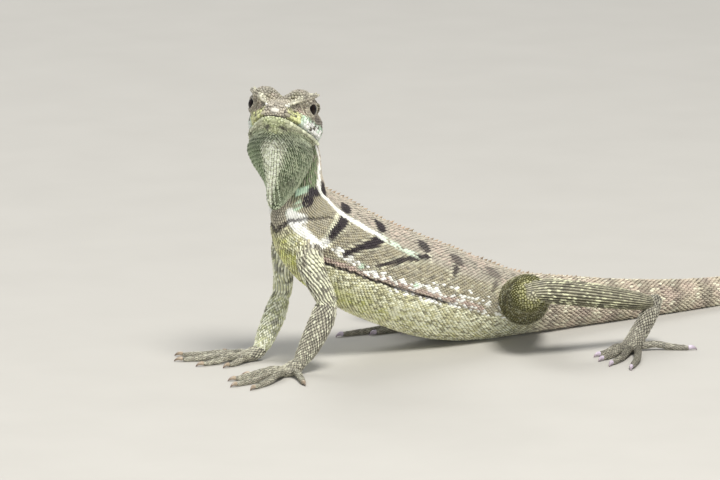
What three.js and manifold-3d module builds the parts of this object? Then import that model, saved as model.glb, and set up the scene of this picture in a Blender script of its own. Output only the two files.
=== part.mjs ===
// A basilisk lizard at life size, sitting alert: belly and tail on the ground, chest propped on
// straight arms, head turned to its left and raised, with its throat pouch hanging.
// Millimetres, +Z up. The trunk lies along X with the tail towards +X, and -Y is the animal's left.
// The body is lofted over a few named sections, and each node is parted from its neighbours by a thin gap.

import * as THREE from 'three';
import { mergeVertices } from 'three/addons/utils/BufferGeometryUtils.js';
import Module from 'manifold-3d';

const wasm = await Module();
wasm.setup();

// Driving sizes
const gap = 0.3; // between one node and the next
const eyeSpot = [-8, -15, 86]; // midway between the two eyes
const headYaw = 50.5; // degrees from straight ahead towards the animal's left
const headPitch = 22; // degrees above level
const headRoll = 4.5; // degrees, left side down
const handThick = 1.25; // half the thickness of a finger at its root
const footThick = 1.35; // half the thickness of a toe at its root
const clawLength = 2.6;
const digitBow = 0.05; // sideways bow of a digit, as a share of its length

const skin = { roughness: 0.62, metalness: 0 };
const paints = {
  back: new THREE.MeshStandardMaterial({ color: 0x857b62, ...skin }),
  head: new THREE.MeshStandardMaterial({ color: 0x8c8a68, ...skin }),
  throat: new THREE.MeshStandardMaterial({ color: 0x87946a, ...skin }),
  limb: new THREE.MeshStandardMaterial({ color: 0x77705c, ...skin }),
  tail: new THREE.MeshStandardMaterial({ color: 0x7e745c, ...skin }),
  eye: new THREE.MeshStandardMaterial({ color: 0x1c1410, roughness: 0.12, metalness: 0 }),
  claw: new THREE.MeshStandardMaterial({ color: 0xcfc4b4, roughness: 0.35, metalness: 0 }),
};

// Sections from the head back to the tail tip.
// Each is centre x, y, z; half width, height above and below; fullness above and below
// (2 is round, less is roofed, more is boxy); and how far the section is turned to the left.
const spine = [
  [-1, -7.2, 77.5, 7.0, 6.8, 7.0, 2.0, 2.0, 46],
  [2.2, -5.6, 69, 8.2, 7.0, 8.4, 2.0, 2.0, 38],
  [4.2, -4.8, 60, 8.0, 7.7, 10.5, 1.9, 2.0, 27],
  [7.5, -4, 51.5, 8.6, 9.2, 16.4, 1.8, 1.8, 15],
  [15.5, -3, 41.5, 11.2, 13.5, 17.0, 1.7, 2.0, 6],
  [28.5, -1.5, 31.5, 13.2, 15.0, 16.5, 1.7, 2.2, 2],
  [43, 0, 24.5, 14.6, 15.0, 16.5, 1.7, 2.2, 0],
  [60, 0, 18, 14.4, 14.2, 16.2, 1.75, 2.2, 0],
  [76, 0, 13.3, 12.6, 12.2, 13.8, 1.8, 2.2, 0],
  [92, 0, 10, 10.0, 9.8, 10.4, 1.8, 2.2, 0],
  [110, 0, 8, 7.4, 8.6, 8.3, 1.8, 2.2, 0],
  [135, 0, 6.2, 5.3, 6.6, 6.5, 1.8, 2.2, 0],
  [166, 1.5, 4.8, 3.9, 4.8, 5.1, 1.8, 2.2, 0],
  [215, 7, 3.5, 2.9, 3.5, 3.75, 1.9, 2.1, 0],
  [275, 12, 2.5, 2.1, 2.5, 2.7, 2.0, 2.0, 0],
  [335, 12, 1.8, 1.5, 1.8, 1.95, 2.0, 2.0, 0],
  [390, 5, 1.2, 1.05, 1.2, 1.3, 2.0, 2.0, 0],
  [436, -5, 0.7, 0.6, 0.7, 0.75, 2.0, 2.0, 0],
];
const spineSpans = spine.length - 1;
const collar = 3 / spineSpans; // where the neck meets the trunk
const vent = 9 / spineSpans; // where the trunk meets the tail
const tailEnds = [9, 11, 12.5, 14, 15.5, 17].map((n) => n / spineSpans);

// Crest scales along the ridge of the back, from the nape to the root of the tail
const crestScales = {
  pitch: 2.3, // from one scale to the next
  height: 1.25, // of the tallest, over the shoulders
  root: 1.1, // sunk below the ridge
  halfThick: 0.42,
  lengthShare: 0.47, // half length, as a share of the pitch
  lean: 0.35, // backwards, for each unit of height
  start: 0.45, // on the neck, as a share of its length
  nape: 0.02, // the first places on the spine, where scales are still small
  fadeFrom: 0.6, // share of the trunk's length where they begin to shrink
  fadeTo: 0.75, // place on the spine where they are smallest
  least: 0.35, // smallest, as a share of the tallest
  clearance: 0.14 / spineSpans, // to the cut between two nodes
};

// Head sections from the snout back, in the head's own frame: x forward, y to its left, z up, from
// midway between the eyes. Each is x, centre z, half width, height above and below, and fullness.
const headSections = [
  [16.9, -4.7, 1.0, 0.8, 1.4, 2.0, 2.0],
  [16.3, -4.6, 2.8, 2.0, 3.2, 2.2, 2.0],
  [14.2, -4.3, 4.4, 3.0, 5.0, 2.4, 1.9],
  [10, -3.9, 6.1, 4.1, 6.3, 2.5, 1.75],
  [5, -3.6, 8.1, 6.0, 7.5, 2.6, 1.65],
  [0, -3.5, 9.7, 7.2, 8.3, 2.7, 1.6],
  [-6, -3.5, 10.9, 7.5, 8.8, 2.6, 1.65],
  [-12, -3.6, 11.9, 7.5, 8.9, 2.4, 1.8],
  [-17, -3.9, 10.8, 7.2, 8.4, 2.2, 1.9],
  [-21, -4.2, 7.8, 5.4, 6.4, 2.0, 2.0],
  [-23, -4.4, 4.0, 2.8, 3.4, 2.0, 2.0],
];
const mouthLine = [[24, -5.9], [16, -6.0], [8, -6.3], [0, -6.65], [-8, -7.0], [-13, -7.2]];
const jawBack = [[-15, -12], [-16.5, -22]]; // down behind the jaw
const eyeBall = { x: 0.6, y: 7.9, z: 0.2, radius: 3.0 };
const lid = { y: 9.4, round: 2.5, thick: 0.8, long: 1.18, high: 0.86, turn: 14 };
const nostril = { x: 13.6, y: 4.0, z: -2.6, radius: 0.65, scale: [1.2, 1.4, 0.9] };
const eardrum = { x: -13.2, y: 12.2, z: -1.6, radius: 2.3, depth: 1.1, tall: 1.15 };

// Domes of the crown, one over each eye, and the slope from each down to the middle of the head
const browDome = { x: 0.4, y: 5.5, z: 2.4, half: [7.8, 4.6, 3.8] };
const crownSlope = { x: 0.8, y: 3.3, z: 1.5, half: [6.6, 3.9, 3.2] };

// Ridges of the head's left side and of its nape: x, y, z, half width and half height
const browRows = [
  [13.4, 3.4, -1.5, 0.4, 0.3],
  [9.5, 5.3, 0.7, 1.2, 0.65],
  [4.5, 7.7, 3.2, 1.8, 0.75],
  [0.5, 9.2, 4.8, 1.6, 0.65],
  [-1.8, 10.5, 5.9, 0.5, 0.35],
];
const templeRows = [
  [1.5, 8.3, 3.4, 0.6, 0.5],
  [-4, 9.3, 3.2, 1.3, 1.0],
  [-10, 9.2, 2.6, 1.3, 1.0],
  [-16.5, 6.8, 2.0, 0.6, 0.5],
];
const napeRows = [
  [-9, 0, 2.4, 0.5, 0.6],
  [-14, 0, 3.4, 0.9, 1.5],
  [-18.5, 0, 3.0, 0.8, 1.8],
  [-21.5, 0, 0.4, 0.4, 0.6],
];

// Half of the lips from the corner of the mouth forward: x, y, z and share of the full thickness
const lipRows = [
  [-12.2, 10.8, -7.2, 0.4],
  [-6, 9.8, -6.9, 0.9],
  [0, 8.4, -6.65, 1],
  [6, 6.7, -6.4, 1],
  [11, 4.9, -6.2, 1],
  [15, 3.1, -6.05, 1],
];
const lipFront = [16.3, 0, -6.0, 1];
const lipThick = 0.7; // half the height of a lip's roll
const upperLip = 0.9; // above the mouth line
const lowerLip = -1.0;

// Throat pouch from the jaw down: z, centre x and y, half width, reach back and forward, and its
// twist in degrees towards the animal's right, as the neck under it points that way.
const pouchSections = [
  [-6.5, -4, 0, 7.0, 8.6, 14.0, 0],
  [-10.3, -5.3, 0, 9.6, 10.4, 15.4, 0],
  [-13.2, -6.8, 0, 10.4, 10.2, 14.8, 2],
  [-17, -9, 0.3, 8.7, 9.4, 12.9, 6],
  [-20.5, -10.3, 0.8, 6.2, 8.2, 10.8, 11],
  [-23.5, -11.4, 0.8, 4.0, 6.6, 9.2, 16],
  [-26, -12.2, 0.4, 2.6, 5.0, 7.0, 20],
  [-28.2, -12.8, -0.2, 1.9, 3.6, 4.8, 22],
  [-29.7, -13.2, -0.6, 1.2, 2.2, 3.0, 22],
];
const pouchFullness = { back: 2, front: 1.55 };

// Limbs, each from the joint it grows from: x, y, z, half width and half height.
// A digit is x and y of its root, its heading in degrees towards the animal's right, and its length.
const limbs = {
  left_arm: {
    upper: [
      [7.5, -6, 40.5, 4.2, 4.6],
      [4.4, -11.2, 38, 4.4, 4.8],
      [3, -14, 34.5, 4.1, 4.4],
      [3.8, -16.3, 29.8, 3.6, 3.8],
      [6, -18, 24.2, 3.2, 3.3],
      [6.9, -18.4, 21, 2.5, 2.6],
    ],
    lower: [
      [7.6, -18.6, 24, 2.0, 2.2],
      [6, -18.4, 20.4, 3.4, 3.5],
      [4.5, -18.3, 16.6, 3.6, 3.9],
      [1.1, -17.6, 9.9, 3.2, 3.6],
      [-2.1, -17.2, 5, 2.6, 2.7],
      [-4, -17, 3.2, 1.8, 1.6],
    ],
    palm: [
      [-1, -17, 5.6, 2.0, 1.6],
      [-4, -17.1, 3.0, 2.8, 2.2],
      [-8, -17.6, 1.7, 3.4, 1.7],
      [-11, -18, 1.3, 2.8, 1.3],
    ],
    digits: [
      [-8.6, -15.6, 22, 10.5],
      [-10.4, -16.6, 5, 15.5],
      [-10.8, -17.8, -14, 20],
      [-10.4, -19, -31, 20.5],
      [-7.2, -19.4, -72, 13],
    ],
  },
  right_arm: {
    upper: [
      [8, 0, 43, 4.0, 4.4],
      [5.4, 4, 39.5, 4.0, 4.4],
      [6.2, 7, 33.6, 3.7, 4.0],
      [7.8, 9.5, 26.5, 3.2, 3.4],
      [8.3, 11, 21, 3.0, 3.1],
      [8.5, 11.4, 18.6, 2.4, 2.4],
    ],
    lower: [
      [9, 11.6, 21.4, 2.0, 2.2],
      [7.4, 11.3, 17.8, 3.1, 3.2],
      [5.2, 10.6, 13.6, 3.4, 3.6],
      [1.4, 9.4, 7.9, 3.1, 3.3],
      [-1, 8.6, 4.6, 2.6, 2.6],
      [-2.8, 8.2, 3.2, 1.8, 1.6],
    ],
    palm: [
      [0.2, 9, 5.4, 2.0, 1.6],
      [-2.6, 8.3, 3.0, 2.8, 2.2],
      [-6.4, 9, 1.7, 3.4, 1.7],
      [-9.2, 10.2, 1.3, 2.8, 1.3],
    ],
    digits: [
      [-7.4, 6.8, -18, 9.5],
      [-8.8, 8.2, 6, 13.5],
      [-9.2, 10, 32, 17.5],
      [-8.6, 11.2, 52, 18.5],
      [-5.6, 11, 88, 11],
    ],
  },
  left_leg: {
    upper: [
      [91, -2, 11, 7.6, 7.2],
      [87, -10, 12.6, 8.4, 7.8],
      [80, -22, 16.2, 7.8, 7.4],
      [73.6, -33, 20.2, 6.5, 6.3],
      [71.2, -37.8, 21.2, 5.5, 5.6],
      [69.8, -41, 21.6, 3.0, 3.4],
    ],
    lower: [
      [68.8, -38.6, 22.2, 2.4, 2.6],
      [75, -39.6, 22.2, 3.8, 3.8],
      [84, -40.4, 20.8, 4.0, 4.0],
      [97, -41, 18.2, 3.7, 3.7],
      [110, -41, 15.4, 3.0, 3.0],
      [115.5, -41, 14.2, 2.2, 2.2],
    ],
    palm: [
      [118.6, -40.6, 15.4, 2.0, 2.0],
      [116.2, -41.4, 11.8, 2.7, 2.6],
      [111.6, -43.2, 7.4, 3.0, 2.5],
      [107.2, -44.8, 3.6, 3.3, 2.2],
      [103.4, -46, 1.5, 2.9, 1.5],
    ],
    digits: [
      [102.2, -44.2, -14, 10],
      [103, -45.6, -27, 15],
      [104.2, -46.9, -39, 21],
      [105.6, -48, -52, 26],
      [108.8, -46.4, -150, 15],
    ],
  },
  right_leg: {
    upper: [
      [91, 2, 11, 7.6, 7.2],
      [86.5, 10, 12.6, 8.4, 7.8],
      [76, 20, 16.4, 7.6, 7.4],
      [65.5, 29.5, 20, 6.4, 6.4],
      [61.6, 33, 21, 5.4, 5.6],
      [59.4, 35, 21.4, 3.0, 3.2],
    ],
    lower: [
      [58, 33.4, 22, 2.4, 2.6],
      [63, 33.6, 20.6, 3.6, 3.8],
      [72.5, 32.8, 16.4, 3.6, 3.7],
      [82.5, 31.4, 10.6, 3.3, 3.3],
      [89.5, 30.4, 6.6, 2.8, 2.8],
      [93.4, 30, 4.8, 2.2, 2.2],
    ],
    palm: [
      [94.6, 29.8, 4.4, 2.0, 2.0],
      [89, 29, 3.0, 2.8, 2.4],
      [82, 27.6, 2.1, 3.1, 2.1],
      [76, 26.2, 1.6, 3.3, 1.7],
      [73, 25.6, 1.2, 2.8, 1.3],
    ],
    digits: [
      [76.4, 23.2, -36, 10],
      [74.8, 24.4, -21, 15],
      [73.8, 25.6, -10, 23],
      [73.6, 26.8, -3, 33],
      [80.6, 29.6, 38, 15],
    ],
  },
};

// Along a digit: share of its length, height of its middle, and share of its root's thickness
const digitProfile = [
  [-0.16, 1.5, 0.8],
  [0.06, 1.7, 1],
  [0.32, 2.0, 0.95],
  [0.62, 1.1, 0.92],
  [0.9, 0.75, 0.8],
  [1, 0.75, 0.66],
];
const digitFlatness = 0.94; // height over width
// Along a claw: share of its length, height of its middle, and share of the digit's thickness
const clawProfile = [
  [0, 0.95, 0.5],
  [0.35, 1.05, 0.44],
  [0.75, 0.72, 0.26],
  [1, 0.2, 0.1],
];
const clawFlatness = 1.1;

// Sides round each form, and rings along it
const facets = {
  head: [28, 18],
  ball: [14, 9],
  lid: [6, 14],
  dome: [12, 8],
  pit: [6, 5],
  ridge: [6, 8],
  lip: [6, 20],
  pouch: [20, 12],
  neck: [20, 9],
  torso: [28, 16],
  tail: [14, 8],
  limb: [12, 9],
  palm: [10, 6],
  digit: [6, 7],
  claw: [5, 3],
};

const rad = THREE.MathUtils.degToRad;
const worldUp = new THREE.Vector3(0, 0, 1);
const nearSide = new THREE.Vector3(0, -1, 0);
const level = 0.02; // squared length of a cross product below which a form counts as upright
const clearOfGround = 1000; // raises a form that no ground flattens

// A Catmull-Rom curve through rows of numbers, three columns at a time.
function columns(rows, first) {
  const points = rows.map((row) => new THREE.Vector3(row[first], row[first + 1], row[first + 2] ?? 0));
  return new THREE.CatmullRomCurve3(points, false, 'catmullrom', 0.5);
}

// The closed solid of a geometry, with its shared vertices merged.
function solid(geometry) {
  const bare = new THREE.BufferGeometry().setAttribute('position', geometry.getAttribute('position'));
  bare.setIndex(geometry.getIndex());
  const merged = mergeVertices(bare, 1e-4);
  return new wasm.Manifold(new wasm.Mesh({
    numProp: 3,
    vertProperties: merged.attributes.position.array,
    triVerts: new Uint32Array(merged.index.array),
  }));
}

const fuse = (solids) => solids.reduce((whole, piece) => whole.add(piece));
const carve = (whole, cutters) => cutters.reduce((rest, cutter) => rest.subtract(cutter), whole);

// A cylinder whose vertices are carried onto sections along a curve, as one closed solid.
// place(t) gives the centre and the two axes of the section, size(t) its half sizes and fullness.
function loft(place, size, around, rings, grow = 0) {
  const halfStep = Math.PI / around; // puts a face, not an edge, underneath
  const tube = new THREE.CylinderGeometry(1, 1, 1, around, rings, false, halfStep);
  const at = tube.attributes.position;
  for (let i = 0; i < at.count; i++) {
    const t = 0.5 + at.getY(i);
    const reach = Math.min(1, Math.hypot(at.getX(i), at.getZ(i)));
    const turn = Math.atan2(at.getX(i), at.getZ(i));
    const { centre, left, top } = place(t);
    const { wide, above, below, full, fullBelow } = size(t);
    const up = Math.cos(turn);
    const across = Math.sin(turn);
    const power = 2 / (up > 0 ? full : fullBelow);
    const x = Math.sign(across) * Math.abs(across) ** power * (wide + grow) * reach;
    const y = Math.sign(up) * Math.abs(up) ** power * ((up > 0 ? above : below) + grow) * reach;
    const p = centre.clone().addScaledVector(left, x).addScaledVector(top, y);
    at.setXYZ(i, p.x, p.y, Math.max(p.z, -grow));
  }
  return solid(tube);
}

// A loft in a frame of its own, where no ground flattens it.
function loftFree(place, size, around, rings, grow) {
  const raised = (t) => {
    const frame = place(t);
    return { ...frame, centre: frame.centre.clone().setZ(frame.centre.z + clearOfGround) };
  };
  return loft(raised, size, around, rings, grow).translate(0, 0, -clearOfGround);
}

// The centre, axes and half sizes of the spine at a place on it, from 0 to 1.
const spineCentres = columns(spine, 0);
const spineSizes = columns(spine, 3);
const spineShapes = columns(spine, 6);

function spineAt(at) {
  const along = spineCentres.getTangent(at);
  const shape = spineShapes.getPoint(at);
  const half = spineSizes.getPoint(at);
  const turned = new THREE.Vector3(Math.sin(rad(shape.z)), -Math.cos(rad(shape.z)), 0);
  const top = turned.cross(along).normalize();
  return { centre: spineCentres.getPoint(at), along, top, left: along.clone().cross(top), half, shape };
}

// The spine from one place to another, stopped half a gap short at each end that meets a neighbour.
function spineLoft(from, to, around, rings, grow = 0) {
  const place = (t) => {
    const { centre, along, top, left } = spineAt(THREE.MathUtils.lerp(from, to, t));
    const inset = grow > 0 ? -grow : gap / 2;
    const shift = (t < 0.5 / rings ? inset : 0) - (t > 1 - 0.5 / rings ? inset : 0);
    return { centre: centre.addScaledVector(along, shift), left, top };
  };
  const size = (t) => {
    const { half, shape } = spineAt(THREE.MathUtils.lerp(from, to, t));
    return { wide: half.x, above: half.y, below: half.z, full: shape.x, fullBelow: shape.y };
  };
  return loft(place, size, around, rings, grow);
}

// A round or flattened limb over rows of x, y, z, half width and half height, level ones widest sideways.
function limb(rows, around, rings, grow = 0) {
  const centres = columns(rows, 0);
  const sizes = columns(rows, 3);
  const place = (t) => {
    const along = centres.getTangent(t);
    const sideways = along.clone().cross(worldUp);
    const upright = along.clone().cross(nearSide);
    const left = (sideways.lengthSq() > level ? sideways : upright).normalize();
    const top = left.clone().cross(along).normalize();
    return { centre: centres.getPoint(t), left, top };
  };
  const size = (t) => {
    const half = sizes.getPoint(t);
    return { wide: half.x, above: half.y, below: half.y, full: 2, fullBelow: 2 };
  };
  return loft(place, size, around, rings, grow);
}

// The head's frame as a matrix: forward, left and up.
function headFrame() {
  const forward = new THREE.Vector3(
    -Math.cos(rad(headYaw)) * Math.cos(rad(headPitch)),
    -Math.sin(rad(headYaw)) * Math.cos(rad(headPitch)),
    Math.sin(rad(headPitch)),
  );
  const sideways = new THREE.Vector3(Math.sin(rad(headYaw)), -Math.cos(rad(headYaw)), 0);
  const left = sideways.applyAxisAngle(forward, rad(-headRoll));
  const up = forward.clone().cross(left);
  return new THREE.Matrix4().makeBasis(forward, left, up).setPosition(...eyeSpot);
}
const headMatrix = headFrame();
const inHead = (piece) => piece.transform(headMatrix.elements);

// The whole head and chin before the jaws are parted.
function headLoft(grow = 0) {
  const lengths = columns(headSections, 0);
  const heights = columns(headSections, 3);
  const shapes = columns(headSections, 5);
  const left = new THREE.Vector3(0, 1, 0);
  const place = (t) => {
    const { x, y } = lengths.getPoint(t);
    return { centre: new THREE.Vector3(x, 0, y), left, top: worldUp };
  };
  const size = (t) => {
    const { x: above, y: below } = heights.getPoint(t);
    const { x: full, y: fullBelow } = shapes.getPoint(t);
    return { wide: lengths.getPoint(t).z, above, below, full, fullBelow };
  };
  return loftFree(place, size, ...facets.head, grow);
}

// A tube of changing thickness over rows of x, y, z, half width and half height, in the head's frame.
function bead(rows, around, rings) {
  const raised = rows.map(([x, y, z, wide, high]) => [x, y, z + clearOfGround, wide, high]);
  return limb(raised, around, rings).translate(0, 0, -clearOfGround);
}

// A ridge along rows of the head's left side, or the like one on its right side.
function ridge(rows, side) {
  return bead(rows.map(([x, y, ...rest]) => [x, y * side, ...rest]), ...facets.ridge);
}

// Everything below the mouth line and in front of the jaw's back, raised by shift.
function belowMouth(shift) {
  const outline = new THREE.Shape();
  outline.moveTo(mouthLine[0][0], mouthLine[0][1] + shift);
  mouthLine.slice(1).forEach(([x, z]) => outline.lineTo(x, z + shift));
  jawBack.forEach(([x, z]) => outline.lineTo(x - shift, z));
  outline.lineTo(mouthLine[0][0], jawBack.at(-1)[1]);
  const wide = 4 * eardrum.y; // well past both sides of the head
  const block = new THREE.ExtrudeGeometry(outline, { depth: wide, bevelEnabled: false });
  block.rotateX(Math.PI / 2).translate(0, wide / 2, 0);
  return solid(block);
}

// A lip along the mouth line, round the snout from the right corner to the left one, thinning to its ends.
function lip(rise, thick) {
  const row = ([x, y, z, share]) => [x, y, z + rise, thick * share, thick * share];
  const leftHalf = lipRows.map(row).reverse();
  const rightHalf = lipRows.map(([x, y, z, share]) => row([x, -y, z, share]));
  return bead([...rightHalf, row(lipFront), ...leftHalf], ...facets.lip);
}

function ball({ x, y, z, radius }, side, grow = 0) {
  const sphere = new THREE.SphereGeometry(radius + grow, ...facets.ball);
  return solid(sphere.translate(x, y * side, z));
}

// A ridge of lid all round the eye, turned a little forward with the side of the head.
function lids(side) {
  const ring = new THREE.TorusGeometry(lid.round, lid.thick, ...facets.lid);
  ring.scale(lid.long, lid.high, 1).rotateX(Math.PI / 2).rotateZ(rad(-lid.turn * side));
  return solid(ring.translate(eyeBall.x, lid.y * side, eyeBall.z));
}

// A swelling of the crown, such as the domed scute field over one eye.
function swelling({ x, y, z, half }, side) {
  const dome = new THREE.SphereGeometry(1, ...facets.dome);
  return solid(dome.scale(...half).translate(x, y * side, z));
}

function pit({ x, y, z, radius, scale }, side) {
  const hole = new THREE.SphereGeometry(radius, ...facets.pit);
  return solid(hole.scale(...scale).translate(x, y * side, z));
}

function earCup({ x, y, z, radius, depth, tall }, side) {
  const cup = new THREE.SphereGeometry(1, ...facets.dome);
  return solid(cup.scale(radius, depth, radius * tall).translate(x, y * side, z));
}

// Upper head, lower jaw and the room that the neck and pouch leave for them
const bothSides = [1, -1];
const headWhole = headLoft();
const upperForms = bothSides.flatMap((side) => [
  ridge(browRows, side),
  ridge(templeRows, side),
  lids(side),
  swelling(browDome, side),
  swelling(crownSlope, side),
]);
const upperMass = fuse([
  headWhole.subtract(belowMouth(gap)),
  lip(upperLip, lipThick).subtract(belowMouth(gap)),
  ridge(napeRows, 1),
  ...upperForms,
]);
const upperSolid = carve(
  upperMass,
  bothSides.flatMap((side) => [ball(eyeBall, side, gap), pit(nostril, side), earCup(eardrum, side)]),
);
const jawSolid = fuse([headWhole, lip(lowerLip, lipThick)]).intersect(belowMouth(0));
const lipsGrown = [upperLip, lowerLip].map((rise) => lip(rise, lipThick + gap));
const headGrown = inHead(fuse([headLoft(gap), ...lipsGrown]));

// Throat pouch, hung from the jaw
function pouchLoft() {
  const centres = columns(pouchSections.map(([z, x, y]) => [x, y, z]), 0);
  const reaches = columns(pouchSections, 3);
  const twists = columns(pouchSections.map((row) => [row[6], 0, 0]), 0);
  const place = (t) => {
    const twist = rad(twists.getPoint(t).x);
    const left = new THREE.Vector3(Math.sin(twist), Math.cos(twist), 0);
    const back = new THREE.Vector3(-Math.cos(twist), Math.sin(twist), 0);
    return { centre: centres.getPoint(t), left, top: back };
  };
  const size = (t) => {
    const { x: wide, y: back, z: fore } = reaches.getPoint(t);
    return { wide, above: back, below: fore, full: pouchFullness.back, fullBelow: pouchFullness.front };
  };
  return inHead(loftFree(place, size, ...facets.pouch, 0));
}

// A low crest scale: a thin blade leaning back, its root sunk in the ridge of the back.
function crestScale(at, height) {
  const { centre, along, top, half } = spineAt(at);
  const { root, halfThick, lengthShare, pitch, lean } = crestScales;
  const blade = new THREE.ConeGeometry(1, height + root, 4, 1).translate(0, (height - root) / 2, 0);
  blade.scale(halfThick, 1, pitch * lengthShare);
  blade.applyMatrix4(new THREE.Matrix4().makeShear(0, 0, 0, lean, 0, 0));
  const frame = new THREE.Matrix4().makeBasis(along.clone().cross(top).negate(), top, along);
  return solid(blade.applyMatrix4(frame.setPosition(centre.addScaledVector(top, half.y))));
}

// Crest scales from one place on the spine to another, tallest over the shoulders.
function crest(from, to) {
  const { pitch, height, nape, fadeFrom, fadeTo, least } = crestScales;
  const scales = [];
  const samples = 4000; // steps along the whole spine, each far shorter than the pitch
  let last = null;
  for (let i = Math.ceil(from * samples); i <= to * samples; i++) {
    const at = i / samples;
    const here = spineCentres.getPoint(at);
    if (last && here.distanceTo(last) < pitch) continue;
    last = here;
    const rise = THREE.MathUtils.smoothstep(at, nape, collar);
    const fall = 1 - 0.75 * THREE.MathUtils.smoothstep(at, vent * fadeFrom, fadeTo);
    const uneven = 0.9 + 0.1 * Math.sin(i);
    scales.push(crestScale(at, height * Math.max(least, rise * fall) * uneven));
  }
  return scales;
}

const withCrest = (core, from, to) => fuse([core, ...crest(from, to)]);

const torsoCore = spineLoft(collar, vent, ...facets.torso);
const torsoGrown = spineLoft(collar, vent, ...facets.torso, gap);
const neckCore = carve(spineLoft(0, collar, ...facets.neck), [headGrown]);
const neckGrown = spineLoft(0, collar, ...facets.neck, gap);
const pouchSolid = carve(pouchLoft(), [headGrown, neckGrown]);
const tailGrown = spineLoft(tailEnds[0], tailEnds[1], ...facets.tail, gap);

// Unit steps along a heading and square to it, on the ground.
function headingOf(heading) {
  const [c, s] = [Math.cos(rad(heading)), Math.sin(rad(heading))];
  return [[-c, s], [s, c]];
}

// A digit lies on the ground from its root along its heading, arched over its joints and bowed to one side.
function digitRows([x, y, heading, length], thick) {
  const [ahead, aside] = headingOf(heading);
  return digitProfile.map(([share, z, wide]) => {
    const reach = length * share;
    const bow = length * digitBow * Math.sin(Math.PI * THREE.MathUtils.clamp(share, 0, 1));
    const side = Math.sign(heading || 1) * bow;
    const centre = [x + ahead[0] * reach + aside[0] * side, y + ahead[1] * reach + aside[1] * side, z];
    return [...centre, thick * wide, thick * wide * digitFlatness];
  });
}

function clawRows([x, y, heading, length], thick) {
  const [ahead] = headingOf(heading);
  return clawProfile.map(([share, z, wide]) => {
    const reach = length + gap + clawLength * share;
    return [x + ahead[0] * reach, y + ahead[1] * reach, z, thick * wide, thick * wide * clawFlatness];
  });
}

const root = new THREE.Group();
const animal = new THREE.Group();
root.add(animal);

// A mesh of a solid's largest closed surface.
function place(name, piece, paint) {
  const bodies = piece.decompose().sort((a, b) => b.volume() - a.volume());
  const { vertProperties, triVerts } = bodies[0].getMesh();
  const geometry = new THREE.BufferGeometry();
  geometry.setAttribute('position', new THREE.BufferAttribute(new Float32Array(vertProperties), 3));
  geometry.setIndex(new THREE.BufferAttribute(new Uint32Array(triVerts), 1));
  const mesh = new THREE.Mesh(geometry, paints[paint].clone());
  mesh.name = name;
  animal.add(mesh);
}

const { start: crestStart, clearance } = crestScales;
place('head', inHead(upperSolid), 'head');
place('lower_jaw', inHead(jawSolid), 'throat');
place('eye_left', inHead(ball(eyeBall, 1)), 'eye');
place('eye_right', inHead(ball(eyeBall, -1)), 'eye');
place('throat_pouch', pouchSolid, 'throat');
place('neck', withCrest(neckCore, crestStart * collar, collar - clearance), 'back');
place('torso', withCrest(torsoCore, collar + clearance, vent - clearance), 'back');
tailEnds.slice(1).forEach((end, i) => {
  const start = tailEnds[i];
  const core = spineLoft(start, end, ...facets.tail);
  place(`tail_${i + 1}`, i === 0 ? withCrest(core, start + clearance, end - clearance) : core, 'tail');
});

// One limb's three lengths and its claws, each length cut clear of the one it grows from.
function placeLimb(side, names, { upper, lower, palm, digits }, thick) {
  const [first, second, third] = names;
  const trunk = [torsoGrown, tailGrown, neckGrown];
  const toes = digits.map((digit) => limb(digitRows(digit, thick), ...facets.digit));
  const spread = fuse([limb(palm, ...facets.palm), ...toes]);
  const upperGrown = limb(upper, ...facets.limb, gap);
  const lowerGrown = limb(lower, ...facets.limb, gap);
  place(`${first}_${side}`, carve(limb(upper, ...facets.limb), trunk), 'limb');
  place(`${second}_${side}`, carve(limb(lower, ...facets.limb), [upperGrown]), 'limb');
  place(`${third}_${side}`, carve(spread, [lowerGrown]), 'limb');
  digits.forEach((digit, i) => {
    place(`claw_${third}_${side}_${i + 1}`, limb(clawRows(digit, thick), ...facets.claw), 'claw');
  });
}

for (const side of ['left', 'right']) {
  placeLimb(side, ['upper_arm', 'forearm', 'hand'], limbs[`${side}_arm`], handThick);
  placeLimb(side, ['thigh', 'shin', 'foot'], limbs[`${side}_leg`], footThick);
}

// The origin is on the ground, under the middle of the animal.
const box = new THREE.Box3().setFromObject(root);
animal.position.set(-(box.min.x + box.max.x) / 2, -(box.min.y + box.max.y) / 2, -box.min.z);

export default root;
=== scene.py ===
# A basilisk lizard at life size: one skin, some tens of thousands of single scales, eyes, claws and crest.
# Model millimetres: X along the trunk (tail +X), -Y the animal's left, Z up from the ground.
import math

import bmesh
import bpy
import numpy as np
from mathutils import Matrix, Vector
from mathutils.bvhtree import BVHTree
from mathutils.kdtree import KDTree


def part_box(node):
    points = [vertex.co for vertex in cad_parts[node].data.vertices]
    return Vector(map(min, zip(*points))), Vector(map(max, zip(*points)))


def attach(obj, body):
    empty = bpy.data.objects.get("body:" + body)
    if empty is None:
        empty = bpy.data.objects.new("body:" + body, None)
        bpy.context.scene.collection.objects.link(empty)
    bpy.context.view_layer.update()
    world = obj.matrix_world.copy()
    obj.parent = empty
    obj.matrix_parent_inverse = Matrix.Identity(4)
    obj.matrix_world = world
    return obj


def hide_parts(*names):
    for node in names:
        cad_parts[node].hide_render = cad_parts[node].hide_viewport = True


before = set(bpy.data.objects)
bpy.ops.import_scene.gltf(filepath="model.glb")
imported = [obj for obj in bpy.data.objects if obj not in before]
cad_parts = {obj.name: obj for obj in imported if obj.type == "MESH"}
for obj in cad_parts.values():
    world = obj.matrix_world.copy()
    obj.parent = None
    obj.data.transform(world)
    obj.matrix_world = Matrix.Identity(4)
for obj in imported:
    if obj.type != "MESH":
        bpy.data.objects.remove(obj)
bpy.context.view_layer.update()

millimetre = 0.001
scene = bpy.context.scene


# Small helpers

def unit(v):
    return v / np.maximum(np.linalg.norm(v, axis=-1, keepdims=True), 1e-12)


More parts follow.
